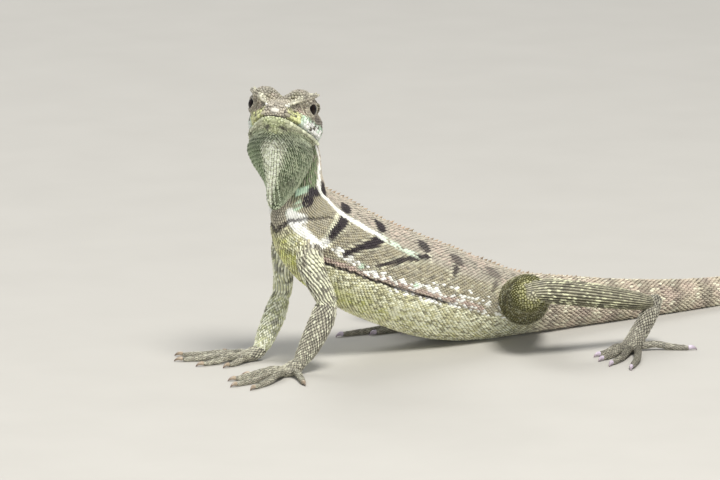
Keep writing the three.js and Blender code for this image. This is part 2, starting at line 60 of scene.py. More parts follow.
def smooth(a, b, x):
    share = np.clip((np.asarray(x, float) - a) / (b - a), 0, 1)
    return share * share * (3 - 2 * share)


def bump(x, width):
    return np.exp(-(np.asarray(x, float) / width) ** 2)


def arcLengths(line):  # how far along a line of points each of them lies
    return np.concatenate([[0], np.cumsum(np.linalg.norm(np.diff(line, axis=0), axis=1))])


def treeOf(spots):
    tree = KDTree(len(spots))
    for i, spot in enumerate(spots):
        tree.insert(spot, i)
    tree.balance()
    return tree


def laidAlong(direction, normals):  # a direction turned into the surface
    return unit(direction - normals * (direction * normals).sum(1)[:, None])


def only(found, kept):
    return {key: value[kept] for key, value in found.items()}


def joined(parts):
    return {key: np.concatenate([part[key] for part in parts]) for key in parts[0]}


def placeIn(feature, side=1):  # in the head's frame: side is 1 for the left and -1 for the right
    return np.array([feature["x"], feature["y"] * side, feature["z"]])


def wobble(p, size, seed=0):  # a soft irregular wave, about -1 to 1, that repeats nowhere near
    a, b, c = p[:, 0] / size + seed, p[:, 1] / size + seed * 1.7, p[:, 2] / size - seed
    return (np.sin(a * 2.1 + 1.3 * np.sin(b * 1.7 + c)) + np.sin(b * 2.3 + 1.1 * np.sin(c * 1.9 - a))
            + np.sin(c * 2.7 + 1.2 * np.sin(a * 1.3 + b * .7))) / 3


def hexColour(text):  # sRGB hex to linear
    parts = [int(text[i:i + 2], 16) / 255 for i in (1, 3, 5)]
    return tuple(c / 12.92 if c <= .04045 else ((c + .055) / 1.055) ** 2.4 for c in parts) + (1,)


def addNode(tree, kind, settings=None, inputs=None):
    node = tree.nodes.new(kind)
    for key, value in (settings or {}).items():
        setattr(node, key, value)
    for key, value in (inputs or {}).items():
        if isinstance(value, bpy.types.NodeSocket):
            tree.links.new(value, node.inputs[key])
        else:
            node.inputs[key].default_value = value
    return node


# Carried over from the solids: the same named sizes, in millimetres

eyeSpot = np.array([-8.0, -15.0, 86.0])  # midway between the eyes
headTurn = {"yaw": 50.5, "pitch": 22, "roll": 4.5}  # degrees: left of ahead, above level, left side down
clawLength = 2.6
digitBow = 0.05
partingGap = 0.3  # between one solid and the next

# centre x, y, z; half width, above, below; fullness above and below; turned, in degrees
spineRows = [
    (-1, -7.2, 77.5, 7.0, 6.8, 7.0, 2.0, 2.0, 46),
    (2.2, -5.6, 69, 8.2, 7.0, 8.4, 2.0, 2.0, 38),
    (4.2, -4.8, 60, 8.0, 7.7, 10.5, 1.9, 2.0, 27),
    (7.5, -4, 51.5, 8.6, 9.2, 16.4, 1.8, 1.8, 15),
    (15.5, -3, 41.5, 11.2, 13.5, 17.0, 1.7, 2.0, 6),
    (28.5, -1.5, 31.5, 13.2, 15.0, 16.5, 1.7, 2.2, 2),
    (43, 0, 24.5, 14.6, 15.0, 16.5, 1.7, 2.2, 0),
    (60, 0, 18, 14.4, 14.2, 16.2, 1.75, 2.2, 0),
    (76, 0, 13.3, 12.6, 12.2, 13.8, 1.8, 2.2, 0),
    (92, 0, 10, 10.0, 9.8, 10.4, 1.8, 2.2, 0),
    (110, 0, 8, 7.4, 8.6, 8.3, 1.8, 2.2, 0),
    (135, 0, 6.2, 5.3, 6.6, 6.5, 1.8, 2.2, 0),
    (166, 1.5, 4.8, 3.9, 4.8, 5.1, 1.8, 2.2, 0),
    (215, 7, 3.5, 2.9, 3.5, 3.75, 1.9, 2.1, 0),
    (275, 12, 2.5, 2.1, 2.5, 2.7, 2.0, 2.0, 0),
    (335, 12, 1.8, 1.5, 1.8, 1.95, 2.0, 2.0, 0),
    (390, 5, 1.2, 1.05, 1.2, 1.3, 2.0, 2.0, 0),
    (436, -5, 0.7, 0.6, 0.7, 0.75, 2.0, 2.0, 0),
]
spineSpans = len(spineRows) - 1

# In the head's frame, x forward, y left, z up: x, centre z, half width, above, below, fullness
headRows = [
    (16.9, -4.7, 1.0, 0.8, 1.4, 2.0, 2.0),
    (16.3, -4.6, 2.8, 2.0, 3.2, 2.2, 2.0),
    (14.2, -4.3, 4.4, 3.0, 5.0, 2.4, 1.9),
    (10, -3.9, 6.1, 4.1, 6.3, 2.5, 1.75),
    (5, -3.6, 8.1, 6.0, 7.5, 2.6, 1.65),
    (0, -3.5, 9.7, 7.2, 8.3, 2.7, 1.6),
    (-6, -3.5, 10.9, 7.5, 8.8, 2.6, 1.65),
    (-12, -3.6, 11.9, 7.5, 8.9, 2.4, 1.8),
    (-17, -3.9, 10.8, 7.2, 8.4, 2.2, 1.9),
    (-21, -4.2, 7.8, 5.4, 6.4, 2.0, 2.0),
    (-23, -4.4, 4.0, 2.8, 3.4, 2.0, 2.0),
]
mouthLine = [(24, -5.9), (16, -6.0), (8, -6.3), (0, -6.65), (-8, -7.0), (-13, -7.2)]
lipLine = [(-12.2, 10.8, -7.2, .4), (-6, 9.8, -6.9, .9), (0, 8.4, -6.65, 1), (6, 6.7, -6.4, 1),
           (11, 4.9, -6.2, 1), (15, 3.1, -6.05, 1)]
lipApex = (16.3, 0, -6.0, 1)
lipThick, upperLipRise, lowerLipDrop = 0.7, 0.9, -1.0
eyeBall = {"x": .6, "y": 7.9, "z": .2}
lid = {"y": 9.4, "round": 2.5, "long": 1.18, "high": .86}
nostril = {"x": 13.6, "y": 4.0, "z": -2.6}
eardrum = {"x": -13.2, "y": 12.2, "z": -1.6}
browDome = {"x": .4, "y": 5.5, "z": 2.4, "half": (7.8, 4.6, 3.8)}
crownSlope = {"x": .8, "y": 3.3, "z": 1.5, "half": (6.6, 3.9, 3.2)}
browRidge = [(13.4, 3.4, -1.5, .4, .3), (9.5, 5.3, .7, 1.2, .65), (4.5, 7.7, 3.2, 1.8, .75),
             (.5, 9.2, 4.8, 1.6, .65), (-1.8, 10.5, 5.9, .5, .35)]
templeRidge = [(1.5, 8.3, 3.4, .6, .5), (-4, 9.3, 3.2, 1.3, 1.0), (-10, 9.2, 2.6, 1.3, 1.0),
               (-16.5, 6.8, 2.0, .6, .5)]
napeCrest = [(-9, 0, 2.4, .5, .6), (-14, 0, 3.4, .9, 1.5), (-18.5, 0, 3.0, .8, 1.8), (-21.5, 0, .4, .4, .6)]

# z, centre x, y, half width, reach back and forward, twist in degrees
pouchRows = [
    (-6.5, -4, 0, 7.0, 8.6, 14.0, 0),
    (-10.3, -5.3, 0, 9.6, 10.4, 15.4, 0),
    (-13.2, -6.8, 0, 10.4, 10.2, 14.8, 2),
    (-17, -9, .3, 8.7, 9.4, 12.9, 6),
    (-20.5, -10.3, .8, 6.2, 8.2, 10.8, 11),
    (-23.5, -11.4, .8, 4.0, 6.6, 9.2, 16),
    (-26, -12.2, .4, 2.6, 5.0, 7.0, 20),
    (-28.2, -12.8, -.2, 1.9, 3.6, 4.8, 22),
    (-29.7, -13.2, -.6, 1.2, 2.2, 3.0, 22),
]

# x, y, z, half width, half height; digits: x, y of the root, heading in degrees, length
limbs = {
    "left_arm": {
        "upper": [(7.5, -6, 40.5, 4.2, 4.6), (4.4, -11.2, 38, 4.4, 4.8), (3, -14, 34.5, 4.1, 4.4),
                  (3.8, -16.3, 29.8, 3.6, 3.8), (6, -18, 24.2, 3.2, 3.3), (6.9, -18.4, 21, 2.5, 2.6)],
        "lower": [(7.6, -18.6, 24, 2.0, 2.2), (6, -18.4, 20.4, 3.4, 3.5), (4.5, -18.3, 16.6, 3.6, 3.9),
                  (1.1, -17.6, 9.9, 3.2, 3.6), (-2.1, -17.2, 5, 2.6, 2.7), (-4, -17, 3.2, 1.8, 1.6)],
        "palm": [(-1, -17, 5.6, 2.0, 1.6), (-4, -17.1, 3.0, 2.8, 2.2), (-8, -17.6, 1.7, 3.4, 1.7),
                 (-11, -18, 1.3, 2.8, 1.3)],
        "digits": [(-8.6, -15.6, 22, 10.5), (-10.4, -16.6, 5, 15.5), (-10.8, -17.8, -14, 20),
                   (-10.4, -19, -31, 20.5), (-7.2, -19.4, -72, 13)],
    },
    "right_arm": {
        "upper": [(8, 0, 43, 4.0, 4.4), (5.4, 4, 39.5, 4.0, 4.4), (6.2, 7, 33.6, 3.7, 4.0),
                  (7.8, 9.5, 26.5, 3.2, 3.4), (8.3, 11, 21, 3.0, 3.1), (8.5, 11.4, 18.6, 2.4, 2.4)],
        "lower": [(9, 11.6, 21.4, 2.0, 2.2), (7.4, 11.3, 17.8, 3.1, 3.2), (5.2, 10.6, 13.6, 3.4, 3.6),
                  (1.4, 9.4, 7.9, 3.1, 3.3), (-1, 8.6, 4.6, 2.6, 2.6), (-2.8, 8.2, 3.2, 1.8, 1.6)],
        "palm": [(.2, 9, 5.4, 2.0, 1.6), (-2.6, 8.3, 3.0, 2.8, 2.2), (-6.4, 9, 1.7, 3.4, 1.7),
                 (-9.2, 10.2, 1.3, 2.8, 1.3)],
        "digits": [(-7.4, 6.8, -18, 9.5), (-8.8, 8.2, 6, 13.5), (-9.2, 10, 32, 17.5), (-8.6, 11.2, 52, 18.5),
                   (-5.6, 11, 88, 11)],
    },
    "left_leg": {
        "upper": [(91, -2, 11, 7.6, 7.2), (87, -10, 12.6, 8.4, 7.8), (80, -22, 16.2, 7.8, 7.4),
                  (73.6, -33, 20.2, 6.5, 6.3), (71.2, -37.8, 21.2, 5.5, 5.6), (69.8, -41, 21.6, 3.0, 3.4)],
        "lower": [(68.8, -38.6, 22.2, 2.4, 2.6), (75, -39.6, 22.2, 3.8, 3.8), (84, -40.4, 20.8, 4.0, 4.0),
                  (97, -41, 18.2, 3.7, 3.7), (110, -41, 15.4, 3.0, 3.0), (115.5, -41, 14.2, 2.2, 2.2)],
        "palm": [(118.6, -40.6, 15.4, 2.0, 2.0), (116.2, -41.4, 11.8, 2.7, 2.6),
                 (111.6, -43.2, 7.4, 3.0, 2.5), (107.2, -44.8, 3.6, 3.3, 2.2), (103.4, -46, 1.5, 2.9, 1.5)],
        "digits": [(102.2, -44.2, -14, 10), (103, -45.6, -27, 15), (104.2, -46.9, -39, 21),
                   (105.6, -48, -52, 26), (108.8, -46.4, -150, 15)],
    },
    "right_leg": {
        "upper": [(91, 2, 11, 7.6, 7.2), (86.5, 10, 12.6, 8.4, 7.8), (76, 20, 16.4, 7.6, 7.4),
                  (65.5, 29.5, 20, 6.4, 6.4), (61.6, 33, 21, 5.4, 5.6), (59.4, 35, 21.4, 3.0, 3.2)],
        "lower": [(58, 33.4, 22, 2.4, 2.6), (63, 33.6, 20.6, 3.6, 3.8), (72.5, 32.8, 16.4, 3.6, 3.7),
                  (82.5, 31.4, 10.6, 3.3, 3.3), (89.5, 30.4, 6.6, 2.8, 2.8), (93.4, 30, 4.8, 2.2, 2.2)],
        "palm": [(94.6, 29.8, 4.4, 2.0, 2.0), (89, 29, 3.0, 2.8, 2.4), (82, 27.6, 2.1, 3.1, 2.1),
                 (76, 26.2, 1.6, 3.3, 1.7), (73, 25.6, 1.2, 2.8, 1.3)],
        "digits": [(76.4, 23.2, -36, 10), (74.8, 24.4, -21, 15), (73.8, 25.6, -10, 23), (73.6, 26.8, -3, 33),
                   (80.6, 29.6, 38, 15)],
    },
}


# The head's frame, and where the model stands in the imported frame

def headAxes():
    yaw, pitch, roll = (math.radians(headTurn[k]) for k in ("yaw", "pitch", "roll"))
    forward = np.array([-math.cos(yaw) * math.cos(pitch), -math.sin(yaw) * math.cos(pitch), math.sin(pitch)])
    level = np.array([math.sin(yaw), -math.cos(yaw), 0.0])
    left = level * math.cos(roll) - np.cross(forward, level) * math.sin(roll)
    return np.array([forward, left, np.cross(forward, left)])


headBasis = headAxes()


def fromHead(h):
    return eyeSpot + np.asarray(h, float) @ headBasis


def toHead(p):
    return (np.asarray(p, float) - eyeSpot) @ headBasis.T


eyeLow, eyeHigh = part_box("eye_left")
shift = np.array((eyeLow + eyeHigh) / 2) / millimetre - fromHead(placeIn(eyeBall))


def toFrame(p):
    return (np.asarray(p, float) + shift) * millimetre


# Lofted forms: each gives, for places t along it, a centre, two axes, half sizes and fullness

def curveAt(rows, t):  # a Catmull-Rom curve through rows of numbers
    rows = np.asarray(rows, float)
    padded = np.vstack([2 * rows[0] - rows[1], rows, 2 * rows[-1] - rows[-2]])
    at = np.clip(np.asarray(t, float), 0, 1) * (len(rows) - 1)
    i = np.clip(np.floor(at).astype(int), 0, len(rows) - 2)
    w = (at - i)[:, None]
    before, start, end, after = padded[i], padded[i + 1], padded[i + 2], padded[i + 3]
    a, b = .5 * (end - before), .5 * (after - start)
    return start + a * w + (3 * end - 3 * start - 2 * a - b) * w**2 + (2 * start - 2 * end + a + b) * w**3


def tangentAt(rows, t):
    return unit(curveAt(rows, np.minimum(t + 1e-4, 1)) - curveAt(rows, np.maximum(t - 1e-4, 0)))


def spineForm(t):
    rows = np.array(spineRows, float)
    along = tangentAt(rows[:, :3], t)
    half = curveAt(rows[:, 3:6], t)
    shape = curveAt(rows[:, 6:9], t)
    turned = np.radians(shape[:, 2])
    level = np.stack([np.sin(turned), -np.cos(turned), 0 * turned], 1)
    top = unit(np.cross(level, along))
    left = np.cross(along, top)
    return curveAt(rows[:, :3], t), left, top, half[:, 0], half[:, 1], half[:, 2], shape[:, 0], shape[:, 1]


def tubeForm(rows, inHead=False):
    rows = np.array(rows, float)

    def at(t):
        along = tangentAt(rows[:, :3], t)
        centre = curveAt(rows[:, :3], t)
        wide, high = curveAt(rows[:, 3:5], t).T
        level = np.cross(along, [0, 0, 1])
        upright = np.cross(along, [0, -1, 0])
        left = unit(np.where((level**2).sum(1, keepdims=True) > .02, level, upright))
        top = unit(np.cross(left, along))
        if inHead:
            centre, left, top = fromHead(centre), left @ headBasis, top @ headBasis
        two = np.full(len(t), 2.0)
        return centre, left, top, wide, high, high, two, two
    return at


def headForm(t):
    rows = curveAt(headRows, t)
    centre = fromHead(np.stack([rows[:, 0], 0 * t, rows[:, 1]], 1))
    left = np.tile(headBasis[1], (len(t), 1))
    top = np.tile(headBasis[2], (len(t), 1))
    return centre, left, top, rows[:, 2], rows[:, 3], rows[:, 4], rows[:, 5], rows[:, 6]


def pouchForm(t):
    rows = curveAt(pouchRows, t)
    twist = np.radians(rows[:, 6])
    left = np.stack([np.sin(twist), np.cos(twist), 0 * t], 1) @ headBasis
    back = np.stack([-np.cos(twist), np.sin(twist), 0 * t], 1) @ headBasis
    frontFull = np.full(len(t), 1.55)
    return (fromHead(rows[:, [1, 2, 0]]), left, back, rows[:, 3], rows[:, 4], rows[:, 5],
            np.full(len(t), 2.0), frontFull)


def headingSteps(heading):
    c, s = math.cos(math.radians(heading)), math.sin(math.radians(heading))
    return (-c, s), (s, c)


# Along a digit or claw: share of its length, height of its middle, half width
digitProfile = [(-.16, 1.5, .8), (.06, 1.7, 1), (.32, 2.0, .95), (.62, 1.1, .92), (.9, .75, .8),
                (1, .75, .66)]
clawProfile = [(0, .95, .5), (.35, 1.05, .44), (.75, .72, .26), (1, .2, .1)]
digitFlat, clawDeep = .94, 1.1  # half height for each half width


def digitRows(digit, thick):
    x, y, heading, length = digit
    ahead, aside = headingSteps(heading)
    rows = []
    for share, z, wide in digitProfile:
        reach = length * share
        bow = length * digitBow * math.sin(math.pi * min(1, max(0, share))) * (1 if heading >= 0 else -1)
        rows.append((x + ahead[0] * reach + aside[0] * bow, y + ahead[1] * reach + aside[1] * bow, z,
                     wide * thick, wide * thick * digitFlat))
    return rows


def clawRows(digit, thick):
    x, y, heading, length = digit
    ahead = headingSteps(heading)[0]
    rows = []
    for share, z, wide in clawProfile:
        reach = length + partingGap + clawLength * share
        rows.append((x + ahead[0] * reach, y + ahead[1] * reach, z, wide * thick, wide * thick * clawDeep))
    return rows


def surface(form, t, turn, grow=0.0):  # turn 0 is the top, and a positive turn runs down the left side
    centre, left, top, wide, above, below, full, fullBelow = form(t)
    up, across = np.cos(turn), np.sin(turn)
    power = 2 / np.where(up > 0, full, fullBelow)
    x = np.sign(across) * np.abs(across)**power * (wide + grow)
    y = np.sign(up) * np.abs(up)**power * (np.where(up > 0, above, below) + grow)
    return centre + left * x[:, None] + top * y[:, None]


handThick, footThick = 1.25, 1.35
forms = {"spine": spineForm, "head": headForm, "pouch": pouchForm}
for limbName, parts in limbs.items():
    thick = handThick if limbName.endswith("arm") else footThick
    for part in ("upper", "lower", "palm"):
        forms[f"{limbName}_{part}"] = tubeForm(parts[part])
    for number, digit in enumerate(parts["digits"], 1):
        forms[f"{limbName}_digit{number}"] = tubeForm(digitRows(digit, thick))

headForms = {}
for side, sideName in ((1, "left"), (-1, "right")):
    for name, ridge in (("brow", browRidge), ("temple", templeRidge)):
        rows = [(x, y * side, z, wide, high) for x, y, z, wide, high in ridge]
        headForms[f"{name}_{sideName}"] = tubeForm(rows, True)
headForms["nape"] = tubeForm(napeCrest, True)
for name, rise in (("lip_upper", upperLipRise), ("lip_lower", lowerLipDrop)):
    right = [(x, -y, z + rise, lipThick * share, lipThick * share) for x, y, z, share in lipLine]
    left = [(x, -y, z, wide, high) for x, y, z, wide, high in reversed(right)]
    middle = [(lipApex[0], 0, lipApex[2] + rise, lipThick, lipThick)]
    headForms[name] = tubeForm(right + middle + left, True)


# Skin: the forms a scale's depth inside the solids, made one by a voxel remesh, then folded and pitted

skinSizes = {"depth": .28, "thinShare": .2, "voxel": .5, "step": .8, "floorLift": .12,
             "fineFrom": (-21.0, -13.5, -32.0), "fineTo": (18.5, 13.5, 12.0)}  # a box in the head's frame


def skinInset(form, t):  # thinner where the form itself is thin
    half = form(t)
    return -np.minimum(skinSizes["depth"], skinSizes["thinShare"] * np.minimum(half[3], half[4]))


def formLength(form, samples=400):
    centre = form(np.linspace(0, 1, samples))[0]
    return np.linalg.norm(np.diff(centre, axis=0), axis=1).sum()


def formGrid(form, step):
    t = np.linspace(0, 1, 200)
    half = form(t)
    girth = math.pi * (half[3] + (half[4] + half[5]) / 2).max()
    return max(8, round(formLength(form) / step)), max(12, round(girth / step))


def closedFaces(rows, around):  # over rings of points, with the two end points after them
    faces = []
    for i in range(rows - 1):
        for j in range(around):
            k = (j + 1) % around
            a, b = i * around, (i + 1) * around
            faces.append((a + j, b + j, b + k, a + k))
    first, last = rows * around, (rows - 1) * around
    for j in range(around):
        k = (j + 1) % around
        faces += [(first, j, k), (first + 1, last + k, last + j)]
    return faces


def loftMesh(form, rings, around, grow=None, roundEnds=True):
    t = np.repeat(np.linspace(0, 1, rings + 1), around)
    turn = np.tile(np.linspace(0, 2 * math.pi, around, endpoint=False), rings + 1)
    inset = skinInset(form, t) if grow is None else np.full(len(t), grow)
    wide = form(t)[3]
    caps = form(np.array([0.0, 1.0]))[0]
    if roundEnds:
        along = unit(caps - form(np.array([.01, .99]))[0])
        caps = caps + along * np.array([[wide[0]], [wide[-1]]]) * .5
    return np.vstack([surface(form, t, turn, inset), caps]), closedFaces(rings + 1, around)


def domeMesh(dome, side):
    lon, lat = 36, 20
    points = []
    for i in range(1, lat):
        for j in range(lon):
            a, b = math.pi * i / lat, 2 * math.pi * j / lon
            points.append((math.sin(a) * math.cos(b), math.sin(a) * math.sin(b), math.cos(a)))
    points += [(0, 0, 1), (0, 0, -1)]
    half = np.array(dome["half"]) - skinSizes["depth"]
    return fromHead(np.array(points) * half + placeIn(dome, side)), closedFaces(lat - 1, lon)


def makeMesh(name, points, faces, inFrame=True):
    mesh = bpy.data.meshes.new(name)
    mesh.from_pydata((toFrame(points) if inFrame else points).tolist(), [], faces)
    mesh.update()
    piece = bpy.data.objects.new(name, mesh)
    scene.collection.objects.link(piece)
    return piece


def meshArrays(mesh):
    points = np.empty(len(mesh.vertices) * 3)
    mesh.vertices.foreach_get("co", points)
    edges = np.empty(len(mesh.edges) * 2, int)
    mesh.edges.foreach_get("vertices", edges)
    return points.reshape(-1, 3) / millimetre - shift, edges.reshape(-1, 2)


def vertexNormals(mesh):
    normals = np.empty(len(mesh.vertices) * 3)
    mesh.vertices.foreach_get("normal", normals)
    return normals.reshape(-1, 3)


def setPoints(mesh, points):
    mesh.vertices.foreach_set("co", toFrame(points).ravel())
    mesh.update()


def relax(points, edges, rounds):  # evens the surface without shrinking it
    count = np.bincount(edges.ravel(), minlength=len(points))[:, None]
    for i in range(rounds * 2):
        total = np.zeros_like(points)
        for k in range(3):
            total[:, k] = (np.bincount(edges[:, 0], points[edges[:, 1], k], len(points))
                           + np.bincount(edges[:, 1], points[edges[:, 0], k], len(points)))
        pull = total / np.maximum(count, 1) - points
        points = points + pull * (.5 if i % 2 == 0 else -.53)  # in, then out by a little more
    return points


def unionSkin():
    points, faces = [], []

    def take(part):
        start = sum(len(p) for p in points)
        points.append(part[0])
        faces.extend(tuple(start + i for i in face) for face in part[1])
    for name, form in forms.items():
        rings, around = formGrid(form, skinSizes["step"])
        take(loftMesh(form, rings, around, roundEnds=name != "head"))
    for form in headForms.values():
        rings, around = formGrid(form, skinSizes["step"] / 2)
        take(loftMesh(form, rings, around))
    for side in (1, -1):
        take(domeMesh(browDome, side))
        take(domeMesh(crownSlope, side))
    allPoints = np.vstack(points)
    allPoints[:, 2] = np.maximum(allPoints[:, 2], skinSizes["floorLift"])
    skin = makeMesh("skin", allPoints, faces)
    remesh = skin.modifiers.new("one", "REMESH")
    remesh.mode = "VOXEL"
    remesh.voxel_size = skinSizes["voxel"] * millimetre
    graph = bpy.context.evaluated_depsgraph_get()
    whole = bpy.data.meshes.new_from_object(skin.evaluated_get(graph))
    skin.modifiers.clear()
    skin.data = whole
    whole.name = "skin"
    return skin


def refineHead(skin):  # halves the mesh of the head and throat, where the lids and lips are
    built = bmesh.new()
    built.from_mesh(skin.data)
    co = toHead(np.array([v.co for v in built.verts]) / millimetre - shift)
    inside = ((co > skinSizes["fineFrom"]) & (co < skinSizes["fineTo"])).all(1)
    built.verts.ensure_lookup_table()
    chosen = [e for e in built.edges if inside[e.verts[0].index] and inside[e.verts[1].index]]
    bmesh.ops.subdivide_edges(built, edges=chosen, cuts=1, use_grid_fill=True)
    built.to_mesh(skin.data)
    built.free()


skin = unionSkin()
print("skin joined", len(skin.data.vertices))
setPoints(skin.data, relax(*meshArrays(skin.data), 4))
refineHead(skin)
points = relax(*meshArrays(skin.data), 3)
setPoints(skin.data, points)
print("head refined", len(skin.data.vertices))


# Where each point of the skin lies on the forms it came from

formNames = list(forms)
formIndex = {name: i for i, name in enumerate(formNames)}


def sampleForms(step=1.0):
    kept = []
    for name, form in forms.items():
        rings, around = formGrid(form, step)
        t = np.repeat(np.linspace(0, 1, rings + 1), around)
        turn = np.tile(np.linspace(-math.pi, math.pi, around, endpoint=False), rings + 1)
        p = surface(form, t, turn, skinInset(form, t))
        kept.append(np.column_stack([p, t, turn, np.full(len(t), formIndex[name])]))
    return np.vstack(kept)


formSamples = sampleForms()
sampleTree = treeOf(formSamples[:, :3])


def placeOf(points):  # form number, t and turn of the nearest form for each point
    return formSamples[[sampleTree.find(p)[1] for p in points]][:, 3:]


# The trunk rolled out flat: millimetres along the back and round the side, so that a marking keeps its size

def trunkRuler():
    t = np.linspace(0, 1, 600)
    form = spineForm(t)
    girth = math.pi * (form[3] + (form[4] + form[5]) / 2)
    return t * spineSpans, arcLengths(form[0]), girth


rulerSection, rulerAlong, rulerGirth = trunkRuler()


def rolledOut(section, degrees):
    section = np.asarray(section, float)
    around = np.asarray(degrees, float) / 360 * np.interp(section, rulerSection, rulerGirth)
    return np.column_stack([np.interp(section, rulerSection, rulerAlong), around])


def pathDistance(points, path):  # distance to a chain of points, and how far along it, 0 to 1
    path = np.asarray(path, float)
    best, share = np.full(len(points), 1e9), np.zeros(len(points))
    steps = max(1, len(path) - 1)
    for i in range(steps):
        a, b = path[i], path[min(i + 1, len(path) - 1)]
        line = b - a
        w = np.clip(((points - a) @ line) / max(line @ line, 1e-9), 0, 1)
        gap = np.linalg.norm(points - a - w[:, None] * line, axis=1)
        closer = gap < best
        best[closer], share[closer] = gap[closer], (i + w[closer]) / steps
    return best, share


# Markings of the trunk, as spine section and degrees down from the back, the same on both sides
trunkMarks = {
    "stripe": [(.3, 88), (1.86, 88), (2.1, 92), (2.4, 88), (3.0, 67), (3.56, 63), (4.18, 56), (4.8, 51),
               (5.7, 54), (6.6, 58), (8.0, 62)],
    "stripeHalf": .8,
    "creases": {"spacing": 3.9, "slant": .73, "half": .48},
    "barPaths": [[(3.72, 66), (3.68, 93), (3.7, 110)], [(4.8, 54), (4.52, 75), (4.2, 103)],
                 [(6.2, 50), (5.5, 67), (4.9, 91)], [(6.89, 52), (6.8, 64)], [(7.95, 54), (7.8, 70)]],
    "barHalves": [(1.9, .8), (1.9, .9), (1.0, .6), (.9, .6), (.7, .5)],
    "barStrengths": [1, 1, .95, .85, .6],
    "barEdge": [(3.46, 69), (3.53, 95), (3.66, 108)],
    "blotch": [(2.36, 92), (2.22, 112), (2.42, 121)],
    "saddles": [(2.42, 70, 1), (3.69, 45, 1), (4.84, 35, 1), (6.15, 35, .9), (6.95, 38, .75),
                (7.92, 40, .6)],
    "saddleHalf": (2.8, 2.4),
    "neckMint": [(2.0, 142), (2.04, 124)],
    "collarMint": [(2.4, 132), (2.6, 149)],
    "neckWhite": [(2.59, 147), (2.86, 127)],
    "shoulder": [(2.83, 142), (3.07, 132), (3.28, 128), (3.48, 123), (3.64, 119)],
    "gularFold": [(2.89, 180), (2.75, 147), (2.91, 121), (3.41, 86)],
    "sideFold": [(3.8, 133), (3.96, 130), (4.57, 113), (5.23, 104), (6.03, 102), (6.73, 100), (7.6, 103)],
    "spots": [(3.66, 114, 1.5), (4.0, 108, 1.1), (4.34, 103, 1.4), (4.62, 103, 1.2), (4.95, 99, 1.2),
              (5.35, 97, 1.0), (5.97, 94, 1.1), (6.45, 92, 1.1), (7.07, 90, 1.0), (7.73, 91, .9),
              (8.3, 92, .8)],
    # rows of flecks: millimetres below the spots, first section, half width, share left out
    "flecks": [(0, 3.6, 1.05, .3), (2.7, 5.4, .8, .36), (-2.6, 6.2, .55, .5)],
    "armpit": [(3.55, 126), (3.8, 131)],
}


def foldDegrees(section):
    path = np.array(trunkMarks["sideFold"])
    return np.interp(section, path[:, 0], path[:, 1])


def markPath(name):
    path = np.array(trunkMarks[name])
    return rolledOut(path[:, 0], path[:, 1])


# Thin folds of skin, slanting like the bars, from the stripe to the side fold
def flankCreases(section, degrees, flat, rough):
    sizes = trunkMarks["creases"]
    across = (flat[:, 0] + sizes["slant"] * flat[:, 1] + .5 * rough) / sizes["spacing"]
    gap = np.abs(across - np.round(across)) * sizes["spacing"]
    here = smooth(3.5, 3.9, section) * (1 - smooth(6.4, 7.6, section)) * smooth(60, 72, degrees)
    aboveFold = 1 - smooth(-14, -4, degrees - foldDegrees(section))
    return (1 - smooth(.1, sizes["half"], gap)) * here * aboveFold


chinLineDrop = 2.45  # from the mouth line down to the second dark line
layers = ["flank", "belly", "bright", "throat", "tan", "limbGrey", "olive", "tailBrown", "pink", "yellow",
          "cream", "mint", "white", "dark"]


def blankMarks(count):
    return {name: np.zeros(count) for name in layers}


def lift(marks, name, value):
    marks[name] = np.maximum(marks[name], value)


# Eyelids, in degrees round the middle of the eyeball, and their radii from the opening's rim outwards
lidShape = {"openLong": 46, "openHigh": 33, "edge": 84, "turn": 20, "long": 1.08, "around": 72, "rings": 22,
            "profile": [(0, 2.7), (.05, 3.1), (.12, 3.24), (.2, 3.16), (.3, 3.26), (.55, 3.4), (.8, 3.3),
                        (1, 2.8)],
            "closeRim": 1.3, "upperSwell": .14}
almondPower = 1.7


def lidAxes(side):
    c, s = math.cos(math.radians(lidShape["turn"])), math.sin(math.radians(lidShape["turn"]))
    return np.array([s, c * side, 0]), np.array([c, -s * side, 0])


def lidOpening(c, s):  # half angle of the almond opening towards a direction round it
    return (np.abs(c / lidShape["openLong"])**almondPower
            + np.abs(s / lidShape["openHigh"])**almondPower)**(-1 / almondPower)


# Angle from the lids' axis, the opening's own angle that way, and distance from the middle of the eye
def lidAngles(h, side):
    folded = h * np.array([1, 0, 1]) + np.array([0, 1, 0]) * (h[:, 1] * side)[:, None]
    away = folded - placeIn(eyeBall)
    axis, level = lidAxes(1)
    reach = np.maximum(np.linalg.norm(away, axis=1), 1e-6)
    c, s = away @ level / lidShape["long"], away[:, 2]
    length = np.maximum(np.hypot(c, s), 1e-6)
    angle = np.degrees(np.arccos(np.clip(away @ axis / reach, -1, 1)))
    return angle, lidOpening(c / length, s / length), reach


